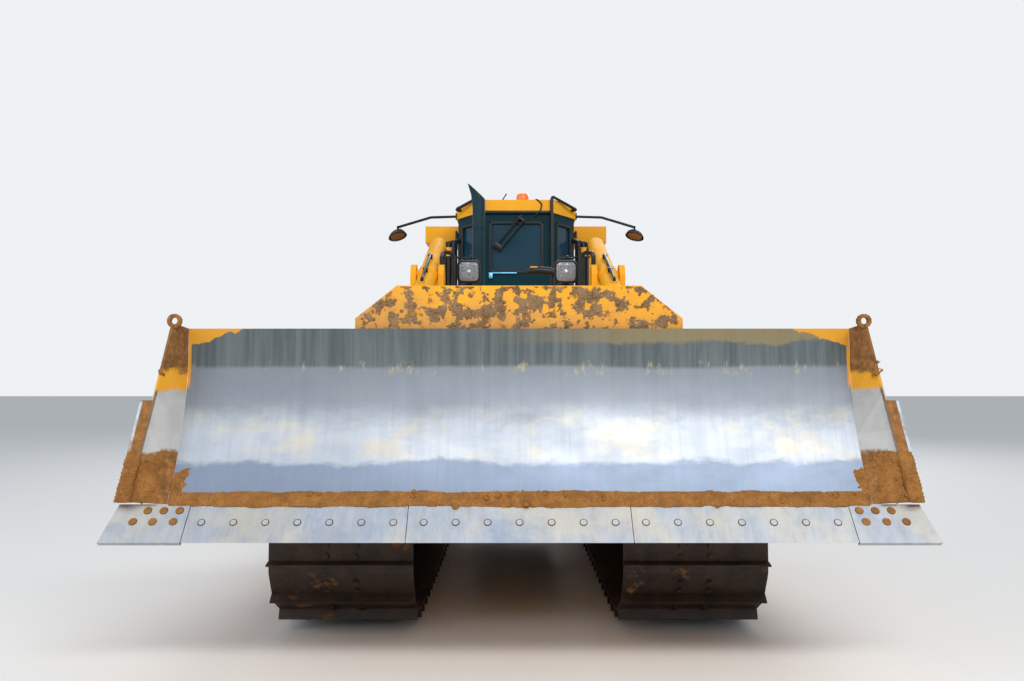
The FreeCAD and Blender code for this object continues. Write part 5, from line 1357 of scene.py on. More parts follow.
LIFT_X = 0.630
LIFT_TRUNNION = Vector((0, -1.410, 2.375))
LIFT_EYE = Vector((0, -2.240, 2.030))
ROD_TAIL = 0.555
ROD_RADIUS = 0.0345
TRUNNION_REACH = 0.1145
CLAMP_PLACES = (-0.20, 0.16)
# Section of a barrel down to its bore: distance from the trunnion towards the rod's eye, and radius.
BARREL_PROFILE = ((-0.899, 0.001), (-0.899, 0.052), (-0.892, 0.060), (-0.870, 0.063), (-0.068, 0.063),
                  (-0.062, 0.072), (0.058, 0.072), (0.064, 0.063), (0.428, 0.063), (0.432, 0.0685),
                  (0.494, 0.0685), (0.4995, 0.063), (0.4995, 0.0385), (-0.874, 0.0385), (-0.874, 0.001))
EYE_PROFILE = ((0, 0.060), (0.004, 0.0672), (0.0756, 0.0672), (0.0796, 0.060))
# Oil pipe on a barrel: distance along it from the trunnion, and height over its middle line.
OIL_ROUTE = ((0.40, 0.078), (0.40, 0.092), (0.34, 0.092), (-0.24, 0.092), (-0.27, 0.070))


class DOZER_OT_cylinders(bpy.types.Operator):
    """Smooth lift cylinders with their glands, ports, pipes and pin caps"""
    bl_idname = "dozer.cylinders"
    bl_label = "Cylinders"

    def execute(self, context):
        way = (LIFT_EYE - LIFT_TRUNNION).normalized()
        length = (LIFT_EYE - LIFT_TRUNNION).length
        sideways = Vector((1, 0, 0))
        top = -way.cross(sideways).normalized()
        top = top if top.z > 0 else -top
        turn = Matrix((sideways, way, top)).transposed()
        for name, side in SIDES:
            across = sideways * side * LIFT_X
            centre, eye = LIFT_TRUNNION + across, LIFT_EYE + across
            barrel = Piece("smooth_barrel_" + name, "paint_deep", "body_yellow")
            barrel.turned(centre, way, BARREL_PROFILE, 48)
            pin = sideways * TRUNNION_REACH
            barrel.rod(centre - pin, centre + pin, 0.0315, sides=32)
            port = centre + way * 0.40 + top * 0.060
            barrel.rod(port, port + top * 0.016, 0.020, sides=24)
            for place in CLAMP_PLACES:
                barrel.block(centre + way * place + top * 0.066, (0.05, 0.022, 0.014), 0.003, turn)
            barrel.done("lift_barrel_" + name, ("lift_barrel_" + name,))
            oil = Piece("barrel_pipe_" + name, "black", "cab_black")
            oil.pipe([centre + way * along + top * rise for along, rise in OIL_ROUTE], 0.011, 0.02)
            for place in CLAMP_PLACES:
                oil.block(centre + way * place + top * 0.084, (0.034, 0.028, 0.034), 0.004, turn)
            oil.done("lift_barrel_" + name)
            rod = Piece("smooth_rod_" + name, "chrome", "rod_chrome")
            rod.turned(eye, -way, ((0.0, ROD_RADIUS), (length + ROD_TAIL, ROD_RADIUS)), 40)
            rod.turned(eye - sideways * 0.0398, sideways, EYE_PROFILE, 40)
            rod.done("lift_rod_" + name, ("lift_rod_" + name,))
            caps = Piece("rod_pin_caps_" + name, "wheels", "wheel_steel")
            for step in (-1, 1):
                end = eye + sideways * step * 0.0735
                caps.rod(end, end + sideways * step * 0.014, 0.043, 0.038, 32)
            caps.rod(eye - sideways * 0.074, eye + sideways * 0.074, 0.0312, sides=32)
            caps.done(BLADE)
        return {"FINISHED"}


TRACK_GAUGE = 2.230
# Section of an idler from its outer face to its inner one, as shares of its tread's radius.
IDLER_HALF = ((0.118, 0.01), (0.118, 0.26), (0.112, 0.27), (0.074, 0.29), (0.074, 0.78), (0.112, 0.82),
              (0.118, 0.84), (0.118, 0.935), (0.112, 0.947), (0.064, 0.947), (0.060, 0.985), (0.050, 0.999))
IDLER_PROFILE = (*((-along, share) for along, share in IDLER_HALF), *reversed(IDLER_HALF))
# Sections of a sprocket's hub cover and of its carrier, from the face outwards.
HUB_PROFILE = ((0, 0.222), (0.010, 0.222), (0.016, 0.205), (0.020, 0.150), (0.030, 0.135), (0.032, 0.020))
CARRIER_PROFILE = ((0, 0.305), (0.018, 0.300), (0.022, 0.205))


def wheel_middle(node):
    """Middle of a pair of wheels, and their radius."""
    low, high = corners(node)
    return Vector((0, (low.y + high.y) / 2, (low.z + high.z) / 2)), (high.z - low.z) / 2


def bolt_circle(centre, side, radius, count, turn=0.0):
    """Places and facings of bolts in a circle on a wheel's side."""
    facing = Vector((side, 0, 0))
    return [(centre + Vector((0, radius * c, radius * n)), facing) for c, n in rounds(count, turn)]


class DOZER_OT_wheels(bpy.types.Operator):
    """Round idlers and sprocket hubs, with their bolts"""
    bl_idname = "dozer.wheels"
    bl_label = "Wheels"

    def execute(self, context):
        centre, radius = wheel_middle("idlers")
        section = [(along, share * radius) for along, share in IDLER_PROFILE]
        idlers = Piece("round_idlers", "wheels", "wheel_steel")
        for name, side in SIDES:
            idlers.turned(centre + Vector((side * TRACK_GAUGE / 2, 0, 0)), (1, 0, 0), section, 64)
        idlers.done(TRACTOR, ("idlers",))
        self.hubs()
        return {"FINISHED"}

    def hubs(self):
        """Sprocket hub covers and carriers with their bolts."""
        centre, radius = wheel_middle("sprockets")
        cover = Piece("sprocket_hubs", "wheels", "wheel_steel")
        ring = []
        for name, side in SIDES:
            out = Vector((side, 0, 0))
            face, plate = (centre + out * (TRACK_GAUGE / 2 + reach) for reach in (0.190, 0.038))
            cover.turned(face - out * 0.012, out, HUB_PROFILE, 64)
            cover.turned(plate - out * 0.004, out, CARRIER_PROFILE, 64)
            ring += bolt_circle(plate + out * 0.016, side, 0.262, 16)
            ring += bolt_circle(face + out * 0.006, side, 0.178, 10, 0.5)
        cover.done(TRACTOR)
        bolts("sprocket_bolts", ring, TRACTOR, "wheels", 0.015, 0.014)


# Width of a shoe's flat face along the track, and where its bolts stand on it.
SHOE_FACE = (0.100, 0.170)
SHOE_LEAST_WIDTH = 0.5
SHOE_BOLT_X = 0.092
SHOE_BOLT_ALONG = 0.034


class DOZER_OT_track_bolts(bpy.types.Operator):
    """Four bolts on every track shoe"""
    bl_idname = "dozer.track_bolts"
    bl_label = "Track bolts"

    def execute(self, context):
        for name, side in SIDES:
            heads = []
            for centre, normal, along in shoe_faces("track_" + name):
                for row in (-1, 1):
                    for link in (-1, 1):
                        middle = Vector((side * TRACK_GAUGE / 2 + link * SHOE_BOLT_X, centre.y, centre.z))
                        heads.append((middle + along * (row * SHOE_BOLT_ALONG), normal))
            bolts("shoe_bolts_" + name, heads, TRACTOR, "track", 0.017, 0.016)
        return {"FINISHED"}


def shoe_faces(node):
    """Centre, normal and run of the wide flat faces of a chain."""
    mesh = NODES[node].data
    planes = {}
    for polygon in mesh.polygons:
        normal = polygon.normal
        if abs(normal.x) > 0.01:
            continue
        key = (round(normal.y, 2), round(normal.z, 2), round(polygon.center.dot(normal), 2))
        planes.setdefault(key, set()).update(polygon.vertices)
    found = []
    for (y, z, offset), members in planes.items():
        places = [mesh.vertices[index].co for index in members]
        normal = Vector((0, y, z)).normalized()
        along = normal.cross(Vector((1, 0, 0)))
        spans = [place.dot(along) for place in places]
        widths = [place.x for place in places]
        wide = max(widths) - min(widths)
        if SHOE_FACE[0] < max(spans) - min(spans) < SHOE_FACE[1] and wide > SHOE_LEAST_WIDTH:
            height = sum(place.dot(normal) for place in places) / len(places)
            found.append((normal * height + along * ((max(spans) + min(spans)) / 2), normal, along))
    return found


PAD_SHRINK = 0.009
PAD_CUTS = 9
PAD_CROWN = 0.42
PAD_FLAT_CROWN = 0.3
PAD_WAIST = 0.035
PAD_TAPER = 0.05
PAD_VOXEL = 0.006
PAD_PRESSURE = 4.0
PAD_FRAMES = 20
PAD_CAP = 0.009
PIPING_STEPS = 72
PIPING_SQUARE = 0.35
PIPING_RADIUS = 0.0045
SEAM_STEPS = 24
SEAM_REACH = 0.86
SEAM_RADIUS = 0.0028


def crowned_form(name, low, high, thin, flat_side):
    """Closed cushion form inside a box, thickest in the middle, whose sides pull in between its corners."""
    centre, half = (low + high) / 2, (high - low) / 2 - Vector((PAD_SHRINK,) * 3)
    wide, tall = [axis for axis in range(3) if axis != thin]
    shape = bmesh.new()
    bmesh.ops.create_cube(shape, size=2.0)
    bmesh.ops.subdivide_edges(shape, edges=shape.edges[:], cuts=PAD_CUTS, use_grid_fill=True)
    for vert in shape.verts:
        p = vert.co.copy()
        crown = PAD_CROWN * (PAD_FLAT_CROWN if p[thin] * flat_side > 0 else 1.0)
        vert.co[thin] = p[thin] * (1 - crown * abs(p[wide]) ** 5) * (1 - crown * abs(p[tall]) ** 5)
        for axis, other in ((wide, tall), (tall, wide)):
            vert.co[axis] = p[axis] * (1 - PAD_WAIST * (1 - p[other] ** 2)) * (1 - PAD_TAPER * p[other] ** 6)
        vert.co = centre + Vector([vert.co[axis] * half[axis] for axis in range(3)])
    bmesh.ops.remove_doubles(shape, verts=shape.verts, dist=1e-6)
    bmesh.ops.recalc_face_normals(shape, faces=shape.faces)
    mesh = bpy.data.meshes.new(name)
    shape.to_mesh(mesh)
    shape.free()
    mesh.materials.append(PALETTE["cloth"])
    return linked(name, mesh)


def swelled(pad):
    """Fills a pad by cloth simulation, keeps each point near its start and smooths it once."""
    scene = bpy.context.scene
    bpy.context.view_layer.objects.active = pad
    remesh = pad.modifiers.new("remesh", "REMESH")
    remesh.mode = "VOXEL"
    remesh.voxel_size = PAD_VOXEL
    bpy.ops.object.modifier_apply(modifier=remesh.name)
    starts = [vertex.co.copy() for vertex in pad.data.vertices]
    cloth = pad.modifiers.new("cloth", "CLOTH")
    cloth.settings.use_pressure = True
    cloth.settings.uniform_pressure_force = PAD_PRESSURE
    cloth.settings.effector_weights.gravity = 0.0
    for frame_number in range(1, PAD_FRAMES + 1):
        scene.frame_set(frame_number)
    shaped = pad.evaluated_get(bpy.context.evaluated_depsgraph_get())
    swollen = [vertex.co.copy() for vertex in shaped.data.vertices]
    pad.modifiers.remove(cloth)
    scene.frame_set(1)
    for vertex, start, end in zip(pad.data.vertices, starts, swollen):
        move = end - start
        vertex.co = start + move * min(1.0, PAD_CAP / max(move.length, 1e-6))
    finer = pad.modifiers.new("finer", "SUBSURF")
    finer.levels = 1
    finer.render_levels = 1
    bpy.ops.object.modifier_apply(modifier=finer.name)


def pad_piping(name, tree, centre, half, wide, tall):
    """Piping that follows a pad's rim."""
    rim = []
    for c, n in rounds(PIPING_STEPS):
        out = Vector()
        out[wide] = math.copysign(abs(c) ** PIPING_SQUARE, c) * half[wide]
        out[tall] = math.copysign(abs(n) ** PIPING_SQUARE, n) * half[tall]
        hit = tree.ray_cast(centre + out * 1.6, -out.normalized())[0]
        if hit is not None:
            rim.append(hit)
    piping = Piece(name + "_piping", "plastic", "seat_fabric")
    piping.pipe(rim + rim[:2], PIPING_RADIUS, sides=8)
    piping.done(TRACTOR)


def pad_seams(name, tree, centre, half, thin, flat_side, channels):
    """Sewn channels over a pad's soft face, each across one axis at a share of the half size."""
    away = Vector()
    away[thin] = -flat_side
    seams = Piece(name + "_seams", "plastic", "seat_fabric")
    for axis, place in channels:
        other = 3 - thin - axis
        line = []
        for step in range(SEAM_STEPS + 1):
            point = centre.copy()
            point[axis] = centre[axis] + half[axis] * place
            point[other] = centre[other] + half[other] * SEAM_REACH * (2 * step / SEAM_STEPS - 1)
            hit = tree.ray_cast(point + away * 0.3, -away)[0]
            if hit is not None:
                line.append(hit)
        if len(line) > 2:
            seams.pipe(line, SEAM_RADIUS, sides=6)
    seams.done(TRACTOR)


def padded_piece(name, node, thin, flat_side, channels):
    """One padded piece in place of a plain soft solid, with its piping and sewn channels."""
    low, high = corners(node)
    pad = crowned_form(name, low, high, thin, flat_side)
    swelled(pad)
    pad.data.shade_smooth()
    finish_piece(pad, TRACTOR, (node,))
    tree = mesh_tree(pad.data)
    centre, half = (low + high) / 2, (high - low) / 2
    wide, tall = [axis for axis in range(3) if axis != thin]
    pad_piping(name, tree, centre, half, wide, tall)
    pad_seams(name, tree, centre, half, thin, flat_side, channels)


class DOZER_OT_seat(bpy.types.Operator):
    """Padded cushion and backrest of the operator's seat"""
    bl_idname = "dozer.seat"
    bl_label = "Seat"

    def execute(self, context):
        padded_piece("cushion_pad", "seat_cushion", 2, -1, ((0, -0.45), (0, 0.45), (1, 0.0)))
        padded_piece("backrest_pad", "seat_back", 1, 1, ((2, -0.5), (2, 0.0), (2, 0.5), (0, -0.5), (0, 0.5)))
        return {"FINISHED"}


# Place in plan and radius of the exhaust pipe.
PIPE_PLACE = (-0.303, -0.66, 0.050)
PIPE_WALL = 0.004
PIPE_JOINT_Z = 2.834
PIPE_BEND_Z = 3.066
PIPE_LEAN = math.radians(17.0)
PIPE_CUT = 0.134
PIPE_SIDES = 48


def pipe_layer(z, radius, cut=0.0):
    """Round layer of the exhaust, leaning and cut aslant by a share of its outlet's rise."""
    x, y, outer = PIPE_PLACE
    places = []
    for c, n in rounds(PIPE_SIDES):
        reach = PIPE_CUT * (1 - c) / 2 * cut
        back, up = reach * math.sin(PIPE_LEAN), reach * math.cos(PIPE_LEAN)
        places.append((x + radius * c - back, y + radius * n, z + up))
    return places


class DOZER_OT_exhaust(bpy.types.Operator):
    """Round exhaust pipe with its bend, slanted outlet, clamp and foot"""
    bl_idname = "dozer.exhaust"
    bl_label = "Exhaust"

    def execute(self, context):
        low, high = corners("exhaust_stack")
        x, y, radius = PIPE_PLACE
        foot = Vector((x, y, low.z))
        joint, bend, bore, bead = PIPE_JOINT_Z, PIPE_BEND_Z, radius - PIPE_WALL, radius + PIPE_WALL
        layers = ((low.z, radius), (joint - 0.004, radius), (joint - 0.002, bead), (joint + 0.022, bead),
                  (joint + 0.024, radius), (bend, radius), (bend, radius, 0.34), (bend, radius, 0.67),
                  (bend, radius, 1.0), (bend, bore, 1.0), (bend, bore, 0.5), (bend - 0.10, bore))
        pipe = Piece("exhaust_pipe", "stack", "exhaust_black")
        pipe.skin([pipe.hoop(pipe_layer(*layer)) for layer in layers], False)
        pipe.rod(foot, foot + UPWARD * 0.020, radius + 0.036, sides=40)
        pipe.rod(foot + UPWARD * 0.020, foot + UPWARD * 0.075, radius + 0.008, sides=40)
        pipe.ring(foot + UPWARD * 0.085, UPWARD, radius + 0.004, 0.007, 40)
        pipe.done(TRACTOR, ("exhaust_stack",))
        reach = radius + 0.024
        heads = [(foot + Vector((reach * c, reach * n, 0.020)), UPWARD) for c, n in rounds(6)]
        bolts("exhaust_bolts", heads, TRACTOR, "stack", 0.007, 0.008)
        return {"FINISHED"}


# Louvred panels of an engine door, as shares of its length, and their heights above the door's foot.
LOUVRE_PANELS = ((0.10, 0.44), (0.54, 0.88))
LOUVRE_RISE = (0.16, 0.52)
LOUVRE_ROWS = 9
LOUVRE_TILT = 0.6
HOOD_BOLTS = 14
HOOD_BOLT_Z = 2.02
HOOD_SEAMS = (-0.95, -0.35)
FILLER_PLACE = (0.12, -1.12)
GUARD_BOLTS = 11


def door_louvres(name, side, face, low, high):
    """Two panels of tilted slats between their end strips, on an engine door."""
    louvres = Piece("door_louvres_" + name, "paint", "body_yellow")
    foot, head = (low.z + rise for rise in LOUVRE_RISE)
    turn = Matrix.Rotation(side * LOUVRE_TILT, 3, "Y")
    for first, last in LOUVRE_PANELS:
        start, end = (low.y + share * (high.y - low.y) for share in (first, last))
        for row in range(LOUVRE_ROWS):
            centre = (side * face, (start + end) / 2, foot + (head - foot) * (row + 0.5) / LOUVRE_ROWS)
            louvres.block(centre, (0.020, end - start, 0.012), 0.002, turn)
        for y in (start - 0.006, end + 0.006):
            louvres.block((side * face, y, (foot + head) / 2), (0.012, 0.012, 0.39), 0.003)
    louvres.done("engine_door_" + name)


def door_latches(name, side, face, low, high):
    """Hinges and handle of an engine door."""
    latches = Piece("door_latches_" + name, "black", "cab_black")
    for z in (low.z + 0.12, high.z - 0.12):
        hinge = Vector((side * face, high.y - 0.045, z))
        latches.block(hinge + Vector((side * 0.004, 0, 0)), (0.012, 0.05, 0.085), 0.004)
        latches.block(hinge + Vector((side * 0.014, 0.005, -0.004)), (0.012, 0.022, 0.060), 0.005)
    grip = Vector((side * face, high.y - 0.12, (low.z + high.z) / 2 + 0.24))
    latches.block(grip + Vector((side * 0.014, 0, 0)), (0.014, 0.13, 0.020), 0.006)
    for y in (-0.055, 0.055):
        latches.block(grip + Vector((side * 0.005, y, 0)), (0.016, 0.018, 0.018), 0.004)
    latches.done("engine_door_" + name)


def hood_top(high):
    """Seams, filler cap and lifting eyes on the hood."""
    top = Piece("hood_top_fittings", "black", "cab_black")
    for y in HOOD_SEAMS:
        top.block((0, y, high.z - 0.001), (0.60, 0.012, 0.006), 0.002)
    cap = Vector((*FILLER_PLACE, high.z))
    top.rod(cap - UPWARD * 0.004, cap + UPWARD * 0.040, 0.052, 0.048, 32)
    top.block(cap + UPWARD * 0.044, (0.075, 0.020, 0.020), 0.004)
    top.done(TRACTOR)
    eyes = Piece("hood_lifting_eyes", "paint", "body_yellow")
    for y in (-1.02, 0.20):
        for x in (-0.16, 0.16):
            eyes.ring((x, y, high.z + 0.016), (1, 0, 0), 0.024, 0.008, 24)
            eyes.block((x, y, high.z - 0.002), (0.05, 0.05, 0.008), 0.002)
    eyes.done(TRACTOR)


def spaced(start, end, count):
    """Evenly spaced values from start to end."""
    return [start + (end - start) * step / (count - 1) for step in range(count)]


class DOZER_OT_hood_fittings(bpy.types.Operator):
    """Louvres, latches and hinges of the engine doors, hood seams, lifting eyes and bolts"""
    bl_idname = "dozer.hood_fittings"
    bl_label = "Hood fittings"

    def execute(self, context):
        low, high = corners("hood")
        for name, side in SIDES:
            door_low, door_high = corners("engine_door_" + name)
            face = max(abs(door_low.x), abs(door_high.x))
            door_louvres(name, side, face, door_low, door_high)
            door_latches(name, side, face, door_low, door_high)
            out = Vector((side, 0, 0))
            heads = [(Vector((side * high.x, y, HOOD_BOLT_Z)), out)
                     for y in spaced(low.y + 0.06, high.y - 0.06, HOOD_BOLTS)]
            bolts("hood_side_bolts_" + name, heads, TRACTOR, "paint", 0.010, 0.008)
        hood_top(high)
        low, high = corners("radiator_guard")
        heads = [(Vector((side * (high.x - 0.052), low.y, z)), AHEAD)
                 for name, side in SIDES for z in spaced(low.z + 0.10, high.z - 0.10, GUARD_BOLTS)]
        bolts("guard_bolts", heads, TRACTOR, "paint", 0.014, 0.011)
        return {"FINISHED"}


SHOULDER_ACROSS = (0.558, 0.932)
SHOULDER_LONG = 0.46
SHOULDER_MIDDLE = 0.175
SHOULDER_FOOT_Z = 3.030
# Place across and radius of each hose beside the cab.
HOSES = ((0.598, 0.022), (0.642, 0.020), (0.678, 0.014))
HOSE_Y = 0.700
HOSE_FOOT_Z = 1.476
HOSE_HEAD_Z = 2.930
HOSE_CLAMPS_Z = (1.80, 2.35, 2.80)
# Bracket arm between the work lamps: place across, height and half depth of its sections.
LAMP_ARM = ((0.062, 2.452, 0.012), (0.10, 2.462, 0.022), (0.18, 2.466, 0.030), (0.262, 2.458, 0.032),
            (0.285, 2.440, 0.030))
LAMP_ARM_Y = -0.95
LAMP_POST_X = 0.262


def hose_bundle(name, side, front):
    """Hoses that climb beside the cab before a black sheet of painted shade, with clamps and a bracket to the
    frame.
    """
    hoses_and_shade_sheet = Piece("hoses_and_shade_sheet_" + name, "black", "cab_black")
    middle, tall = (HOSE_FOOT_Z + HOSE_HEAD_Z) / 2, HOSE_HEAD_Z - HOSE_FOOT_Z
    # A thin black sheet behind the hoses: painted shade under the shoulder casing.
    hoses_and_shade_sheet.block((side * 0.636, HOSE_Y + 0.040, middle), (0.116, 0.008, tall), 0.002)
    for x, radius in HOSES:
        route = ((side * x, HOSE_Y, HOSE_FOOT_Z), (side * x, HOSE_Y, HOSE_HEAD_Z),
                 (side * 0.545, HOSE_Y + 0.055, HOSE_HEAD_Z + 0.035))
        hoses_and_shade_sheet.pipe(route, radius, 0.03, 16)
    for z in HOSE_CLAMPS_Z:
        hoses_and_shade_sheet.block((side * 0.640, HOSE_Y + 0.010, z), (0.125, 0.050, 0.022), 0.004)
        hoses_and_shade_sheet.block((side * 0.560, HOSE_Y + 0.040, z), (0.060, 0.010, 0.022), 0.002)
    hoses_and_shade_sheet.block((side * 0.545, front + 0.05, SHOULDER_FOOT_Z + 0.10), (0.05, 0.05, 0.030), 0.004)
    hoses_and_shade_sheet.done(TRACTOR)
    x, radius = HOSES[1]
    head = Vector((side * x, HOSE_Y, HOSE_HEAD_Z))
    collar = Piece("hose_collars_" + name, "paint", "body_yellow")
    collar.rod(head - UPWARD * 0.125, head - UPWARD * 0.055, radius + 0.008, sides=24)
    collar.rod(head - UPWARD * 0.055, head - UPWARD * 0.042, radius + 0.013, sides=6)
    collar.done(TRACTOR)


def lamp_bracket():
    """Tapered arm on its post between the work lamps, with yellow caps."""
    arm = Piece("lamp_bracket_arm", "black", "cab_black")
    arm.skin([arm.hoop((x, LAMP_ARM_Y + size * 0.8 * c, z + size * n) for c, n in rounds(20))
              for x, z, size in LAMP_ARM], False)
    arm.rod((LAMP_POST_X, LAMP_ARM_Y, 2.44), (LAMP_POST_X, LAMP_ARM_Y, 2.249), 0.014, sides=16)
    arm.block((LAMP_POST_X, LAMP_ARM_Y, 2.253), (0.08, 0.06, 0.010), 0.003)
    arm.done(TRACTOR)
    cap = Piece("lamp_bracket_cap", "paint", "body_yellow")
    cap.block((0.125, LAMP_ARM_Y, 2.490), (0.055, 0.034, 0.012), 0.004, segments=3)
    cap.block((0.305, LAMP_ARM_Y, 2.262), (0.07, 0.05, 0.020), 0.004)
    cap.done(TRACTOR)


class DOZER_OT_cab_sides(bpy.types.Operator):
    """Shoulder casings of the protection frame, and the black sheets of painted shade, hoses and brackets between
    it and the cab
    """
    bl_idname = "dozer.cab_sides"
    bl_label = "Cab sides"

    def execute(self, context):
        low, high = corners("rops_frame")
        inner, outer = SHOULDER_ACROSS
        tall = high.z - SHOULDER_FOOT_Z + 0.002
        for name, side in SIDES:
            place = (side * (inner + outer) / 2, low.y + SHOULDER_MIDDLE, SHOULDER_FOOT_Z + tall / 2)
            casing = Piece("shoulder_casing_" + name, "paint", "body_yellow")
            casing.block(place, (outer - inner, SHOULDER_LONG, tall), 0.010, segments=3)
            casing.done(TRACTOR)
            hose_bundle(name, side, low.y)
        pane = corners("cab_frame")[0].y - 0.014
        # A strip at the window's foot whose pale blue colour is a painted reflection of the sky.
        sill = Piece("window_sill", "sill", "rod_chrome")
        sill.block((-0.125, pane, 2.612), (0.260, 0.012, 0.012), 0.003)
        sill.block((-0.235, pane, 2.588), (0.034, 0.012, 0.052), 0.004)
        sill.done(TRACTOR)
        lamp_bracket()
        return {"FINISHED"}


# Grip plates on a fender: rows along it and columns across it, first place and pitch of each.
TREAD_ROWS = (5, 0.34, 0.115)
TREAD_COLUMNS = (4, 0.95, 0.058)
FENDER_BOLTS = 9
FENDER_BOLT_PITCH = 0.19
FRAME_FOOT_BOLTS = ((0.615, 1.46), (0.915, 1.46), (0.615, 1.58), (0.915, 1.58))
TANK_BOLTS_X = (-0.54, -0.18, 0.18, 0.54)
TANK_RAIL_Y = 2.02
TANK_RAIL_Z = (1.30, 1.78)
TANK_CAP = (0.30, 2.10)
REAR_LAMP = (0.60, 1.815, 3.115)
REAR_LAMP_RIBS = 5
REAR_WINDOW = (0.40, 2.25, 3.06)
DOOR_WINDOW = (0.843, 1.247, 2.0, 3.065)


def treads_and_bolts():
    """Grip plates on the fenders, and the bolts of fenders, frame feet and tank."""
    low, high = corners("fenders")
    tank_low, tank_high = corners("fuel_tank")
    treads = Piece("fender_treads", "black", "cab_black")
    heads = []
    rows, first_y, pitch_y = TREAD_ROWS
    columns, first_x, pitch_x = TREAD_COLUMNS
    for name, side in SIDES:
        for row in range(rows):
            for column in range(columns):
                place = (side * (first_x + column * pitch_x), first_y + row * pitch_y, high.z + 0.002)
                treads.block(place, (0.036, 0.055, 0.006), 0.002)
        for step in range(FENDER_BOLTS):
            y = low.y + 0.06 + step * FENDER_BOLT_PITCH
            heads.append((Vector((side * (high.x - 0.035), y, high.z)), UPWARD))
            heads.append((Vector((side * high.x, y, low.z + 0.07)), Vector((side, 0, 0))))
        heads += [(Vector((side * x, y, high.z)), UPWARD) for x, y in FRAME_FOOT_BOLTS]
    treads.done(TRACTOR)
    heads += [(Vector((x, tank_high.y, z)), -AHEAD) for x in TANK_BOLTS_X for z in (tank_low.z + 0.10, 1.60)]
    bolts("frame_bolts", heads, TRACTOR, "paint", 0.012, 0.010)


def grab_rail(rails, feet, reach, bend):
    """Bent rail between two feet, standing off them by a vector."""
    start, end = (Vector(foot) for foot in feet)
    rails.pipe([start, start + reach, end + reach, end], 0.011, bend)


def rear_rails():
    """Grab rails on tank, fenders and protection frame, and the tank's cap."""
    high = corners("fuel_tank")[1]
    rails = Piece("rear_grab_rails", "black", "cab_black")
    for name, side in SIDES:
        out = Vector((side, 0, 0))
        feet = [(side * high.x, TANK_RAIL_Y, z) for z in TANK_RAIL_Z]
        grab_rail(rails, feet, out * 0.035, 0.03)
        for foot in feet:
            rails.rod(Vector(foot) - out * 0.002, Vector(foot) + out * 0.008, 0.022, sides=20)
        grab_rail(rails, ((side * 0.894, 0.22, 1.478), (side * 1.10, 0.22, 1.478)), UPWARD * 0.142, 0.04)
        grab_rail(rails, ((side * 0.885, 1.44, 1.75), (side * 0.885, 1.44, 2.35)), out * 0.04, 0.03)
    cap = Vector((*TANK_CAP, high.z))
    rails.rod(cap - UPWARD * 0.004, cap + UPWARD * 0.045, 0.062, 0.058, 36)
    rails.block(cap + UPWARD * 0.050, (0.10, 0.022, 0.020), 0.005)
    rails.ring(cap + UPWARD * 0.004, UPWARD, 0.070, 0.008, 36)
    rails.done(TRACTOR)


def rear_lamps():
    """Two hooded lamps with ribbed lenses under the protection frame's rear."""
    housings = Piece("rear_lamp_housings", "black", "cab_black")
    lenses = Piece("rear_lamp_lenses", "lens", "lamp_glass")
    for name, side in SIDES:
        x, y, z = REAR_LAMP
        lamp = Vector((side * x, y, z))
        housings.block(lamp, (0.13, 0.05, 0.105), 0.014)
        housings.block(lamp + UPWARD * 0.055, (0.15, 0.07, 0.010), 0.004)
        lenses.block(lamp + Vector((0, 0.026, -0.004)), (0.105, 0.010, 0.080), 0.010)
        for rib in spaced(-0.036, 0.036, REAR_LAMP_RIBS):
            lenses.rod(*shifted(lamp, ((rib, 0.031, -0.036), (rib, 0.031, 0.028))), 0.003, sides=8)
    housings.done(TRACTOR)
    lenses.done(TRACTOR)


def rear_window_strips():
    """Rubber strips round the rear window and the cab doors' windows."""
    high = corners("cab_frame")[1]
    half, foot, head = REAR_WINDOW
    strips = Piece("rear_window_strip", "rubber", "dark_plastic")
    upright_window(strips, (-half, high.y), (half, high.y), foot, head, -AHEAD)
    strips.done(TRACTOR)
    start, end, foot, head = DOOR_WINDOW
    for name, side in SIDES:
        x = side * high.x
        gasket = Piece("door_window_strip_" + name, "rubber", "dark_plastic")
        upright_window(gasket, (x, start), (x, end), foot, head, (1, 0, 0))
        gasket.done("cab_door_" + name)


class DOZER_OT_rear_fittings(bpy.types.Operator):
    """Grip plates, grab handles, rear lamps, tank cap, frame bolts and cab door strips"""
    bl_idname = "dozer.rear_fittings"
    bl_label = "Rear fittings"

    def execute(self, context):
        treads_and_bolts()
        rear_rails()
        rear_lamps()
        rear_window_strips()
        return {"FINISHED"}


LEVER_X = 0.345
# Sections of a lever's boot and knob: height, and radius.
BOOT_PROFILE = ((0, 0.038), (0.012, 0.036), (0.020, 0.028), (0.032, 0.026), (0.042, 0.016), (0.050, 0.010))
KNOB_PROFILE = ((0, 0.016), (0.02, 0.021), (0.05, 0.024), (0.075, 0.021), (0.085, 0.010))
PEDALS_X = (-0.11, 0.11)
MAT_RIBS = 9
MAT_RIB_PITCH = 0.075
DISPLAY_X = 0.05
DISPLAY_TILT = -0.25
DIALS_X = (-0.13, -0.085)


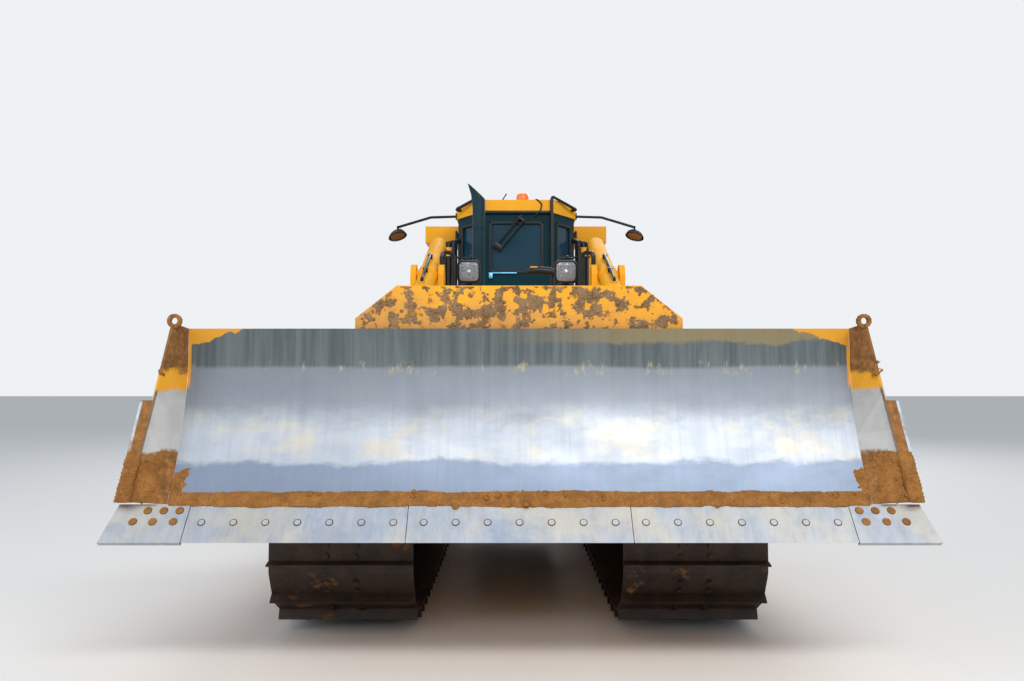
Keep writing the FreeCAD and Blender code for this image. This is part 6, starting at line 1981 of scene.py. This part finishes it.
def levers_and_pedals(console_low, console_high):
    """Levers with boots and knobs, armrest pads, pedals and the ribbed floor mat."""
    low, high = corners("armrests")
    levers = Piece("control_levers", "rubber", "dark_plastic")
    for name, side in SIDES:
        foot = Vector((side * LEVER_X, low.y + 0.07, high.z))
        tip = foot + Vector((0, -0.02, 0.125))
        levers.turned(foot - UPWARD * 0.004, UPWARD, BOOT_PROFILE, 28)
        levers.rod(foot + UPWARD * 0.03, tip, 0.008, sides=16)
        levers.turned(tip - UPWARD * 0.035, (0, -0.15, 1), KNOB_PROFILE, 28)
        pad = (side * LEVER_X, (low.y + high.y) / 2 + 0.06, high.z + 0.006)
        levers.block(pad, (0.085, 0.26, 0.020), 0.008, segments=3)
    for x in PEDALS_X:
        pedal = Vector((x, console_low.y + 0.26, 1.60))
        levers.block(pedal, (0.085, 0.03, 0.11), 0.008, Matrix.Rotation(0.5, 3, "X"))
        levers.rod((x, console_high.y - 0.01, 1.58), pedal, 0.009, sides=12)
    levers.block((0, 0.86, 1.483), (0.80, 0.72, 0.006), 0.002)
    for step in range(MAT_RIBS):
        levers.block((0, 0.56 + step * MAT_RIB_PITCH, 1.488), (0.74, 0.018, 0.006), 0.002)
    levers.done(TRACTOR)


class DOZER_OT_cab_inside(bpy.types.Operator):
    """Levers, display, pedals and floor mat inside the cab"""
    bl_idname = "dozer.cab_inside"
    bl_label = "Cab inside"

    def execute(self, context):
        low, high = corners("console")
        levers_and_pedals(low, high)
        tilt = Matrix.Rotation(DISPLAY_TILT, 3, "X")
        dials = Piece("console_display", "black", "cab_black")
        dials.block((DISPLAY_X, high.y - 0.02, high.z + 0.035), (0.19, 0.035, 0.115), 0.010, tilt)
        for x in DIALS_X:
            dial = Vector((x, high.y - 0.03, high.z))
            dials.rod(dial - UPWARD * 0.002, dial + UPWARD * 0.012, 0.018, sides=24)
        dials.done(TRACTOR)
        screen = Piece("console_screen", "glass", "lamp_glass")
        screen.block((DISPLAY_X, high.y + 0.0005, high.z + 0.030), (0.160, 0.004, 0.088), 0.001, tilt)
        screen.done(TRACTOR)
        return {"FINISHED"}


class DOZER_PT_panel(bpy.types.Panel):
    """Lists the sizes, colours and steps"""
    bl_idname = "DOZER_PT_panel"
    bl_label = "Bulldozer"
    bl_space_type = "VIEW_3D"
    bl_region_type = "UI"
    bl_category = "Bulldozer"

    def draw(self, context):
        for group in (context.scene.dozer_finish, context.scene.dozer_sizes):
            for key in group.__annotations__:
                self.layout.prop(group, key)
        for step in STEPS:
            self.layout.operator(step.bl_idname)


STEPS = (DOZER_OT_stage, DOZER_OT_paint, DOZER_OT_groups, DOZER_OT_edge_bolts, DOZER_OT_blade_soil,
         DOZER_OT_lamps, DOZER_OT_cab_trim, DOZER_OT_cylinders, DOZER_OT_wheels, DOZER_OT_track_bolts,
         DOZER_OT_seat, DOZER_OT_exhaust, DOZER_OT_hood_fittings, DOZER_OT_cab_sides, DOZER_OT_rear_fittings,
         DOZER_OT_cab_inside)
CLASSES = (DozerFinish, DozerSizes, *STEPS, DOZER_PT_panel)


def register():
    for kind in CLASSES:
        bpy.utils.register_class(kind)
    bpy.types.Scene.dozer_finish = bpy.props.PointerProperty(type=DozerFinish)
    bpy.types.Scene.dozer_sizes = bpy.props.PointerProperty(type=DozerSizes)


def unregister():
    del bpy.types.Scene.dozer_sizes
    del bpy.types.Scene.dozer_finish
    for kind in reversed(CLASSES):
        bpy.utils.unregister_class(kind)


def main():
    """Runs every step in order."""
    register()
    for step in STEPS:
        group, name = step.bl_idname.split(".")
        getattr(getattr(bpy.ops, group), name)()


if __name__ == "__main__":
    main()
